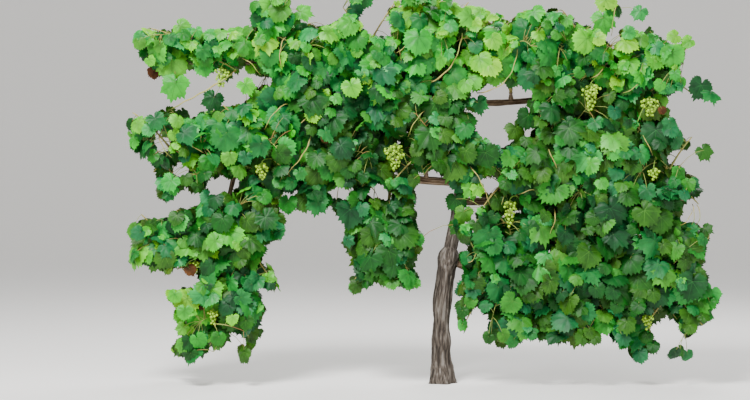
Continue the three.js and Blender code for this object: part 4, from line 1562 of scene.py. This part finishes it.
def tendril(start, ahead, random):
    t = np.linspace(0, 1, TENDRIL_RINGS)
    reach, coil, turns = draws(random, (0.03, 0.07), (0.004, 0.008), (4, 9))
    aside = unit(np.cross(ahead, UP + 0.01))
    winding = np.clip((t - STRAIGHT_PART) / (1 - STRAIGHT_PART), 0, 1)
    swing = coil * np.minimum(1, winding * 3)
    path = start + ahead * (reach * np.minimum(t, STRAIGHT_PART + winding * 0.35))[:, None]
    path = path + aside * (swing * np.sin(turns * winding))[:, None]
    path = path + UP * (swing * np.cos(turns * winding) - 0.02 * t * t)[:, None]
    return path


random = seeded(801)
tendril_paths = []
for mass in MASSES:
    for start, bend, end in mass["twigs"]:
        if random() < TENDRIL_SHARE and inside(mass["space"], end, -0.06):
            thread = tendril(end, unit(end - bend), random)
            if not closes_open_place(thread):
                tendril_paths.append(thread)
tendril_radii = np.tile(np.linspace(0.0009, 0.0005, TENDRIL_RINGS), (len(tendril_paths), 1))
threads = tubes(tendril_paths, tendril_radii, sides=4)
joined_piece("tendrils", threads, STALK_SKIN, MASS_NODES)

# %% [markdown]
# ## Floor, backdrop and light
# A wide shallow bowl stands for floor and background: one profile, flat and then curved up, spun right
# round, so that the plant can be seen from every side without a horizon. A large soft light from above, a
# weaker one from the right and one from behind show the relief of the leaves.

# %% Bowl
FLOOR_RADIUS = 12.5
CURVE_RADIUS = 9.0
RIM_TOP = 13.0
BOWL_COLOUR = (0.78, 0.765, 0.74, 1)


def stage_material():
    material, _, shader = new_material("pale_bowl", roughness=0.95, specular=0.1)
    for name in ("Base Color", "Emission Color"):
        shader.inputs[name].default_value = BOWL_COLOUR
    shader.inputs["Emission Strength"].default_value = 0.42
    return material


def pale_bowl():
    bm = bmesh.new()
    turns = [math.pi / 2 * i / 12 for i in range(13)]
    rising = [(FLOOR_RADIUS + CURVE_RADIUS * math.sin(a), CURVE_RADIUS * (1 - math.cos(a))) for a in turns]
    outline = [(0, 0), (3.0, 0), (7.0, 0)] + rising + [(FLOOR_RADIUS + CURVE_RADIUS, RIM_TOP)]
    corners = [bm.verts.new((x, 0, z)) for x, z in outline]
    profile = [bm.edges.new(pair) for pair in zip(corners, corners[1:])]
    bmesh.ops.spin(bm, geom=corners + profile, cent=(0, 0, 0), axis=(0, 0, 1), angle=2 * math.pi, steps=72)
    bmesh.ops.remove_doubles(bm, verts=bm.verts, dist=1e-4)
    bmesh.ops.recalc_face_normals(bm, faces=bm.faces)
    if sum(face.normal.z * face.calc_area() for face in bm.faces) < 0:
        bmesh.ops.reverse_faces(bm, faces=bm.faces)
    mesh = mesh_of(bm, "pale_bowl")
    mesh.materials.append(stage_material())
    add_object("pale_bowl", mesh)


pale_bowl()
print("a bowl of", FLOOR_RADIUS + CURVE_RADIUS, "m radius")

# %% Lights
def soft_light(name, place, aim, size, power):
    data = bpy.data.lights.new(name, "AREA")
    data.size = size
    data.energy = power
    light = add_object(name, data)
    light.location = place
    light.rotation_euler = (Vector(aim) - Vector(place)).to_track_quat("-Z", "Y").to_euler()


for name, place, aim, size, power in (
    ("key_light", (-2.0, -3.8, 5.2), (-0.1, 0, 0.9), 1.9, 800),
    ("fill_light", (3.8, -4.6, 2.4), (0, 0, 0.8), 3.4, 110),
    ("back_light", (1.5, 2.6, 4.2), (0, 0, 1.0), 2.4, 160),
):
    soft_light(name, place, aim, size, power)
    print(name, power, "W")
world = bpy.data.worlds.new("soft_room")
world.use_nodes = True
background = world.node_tree.nodes["Background"]
background.inputs["Color"].default_value = (0.92, 0.96, 1.0, 1)
background.inputs["Strength"].default_value = 0.27
bpy.context.scene.world = world
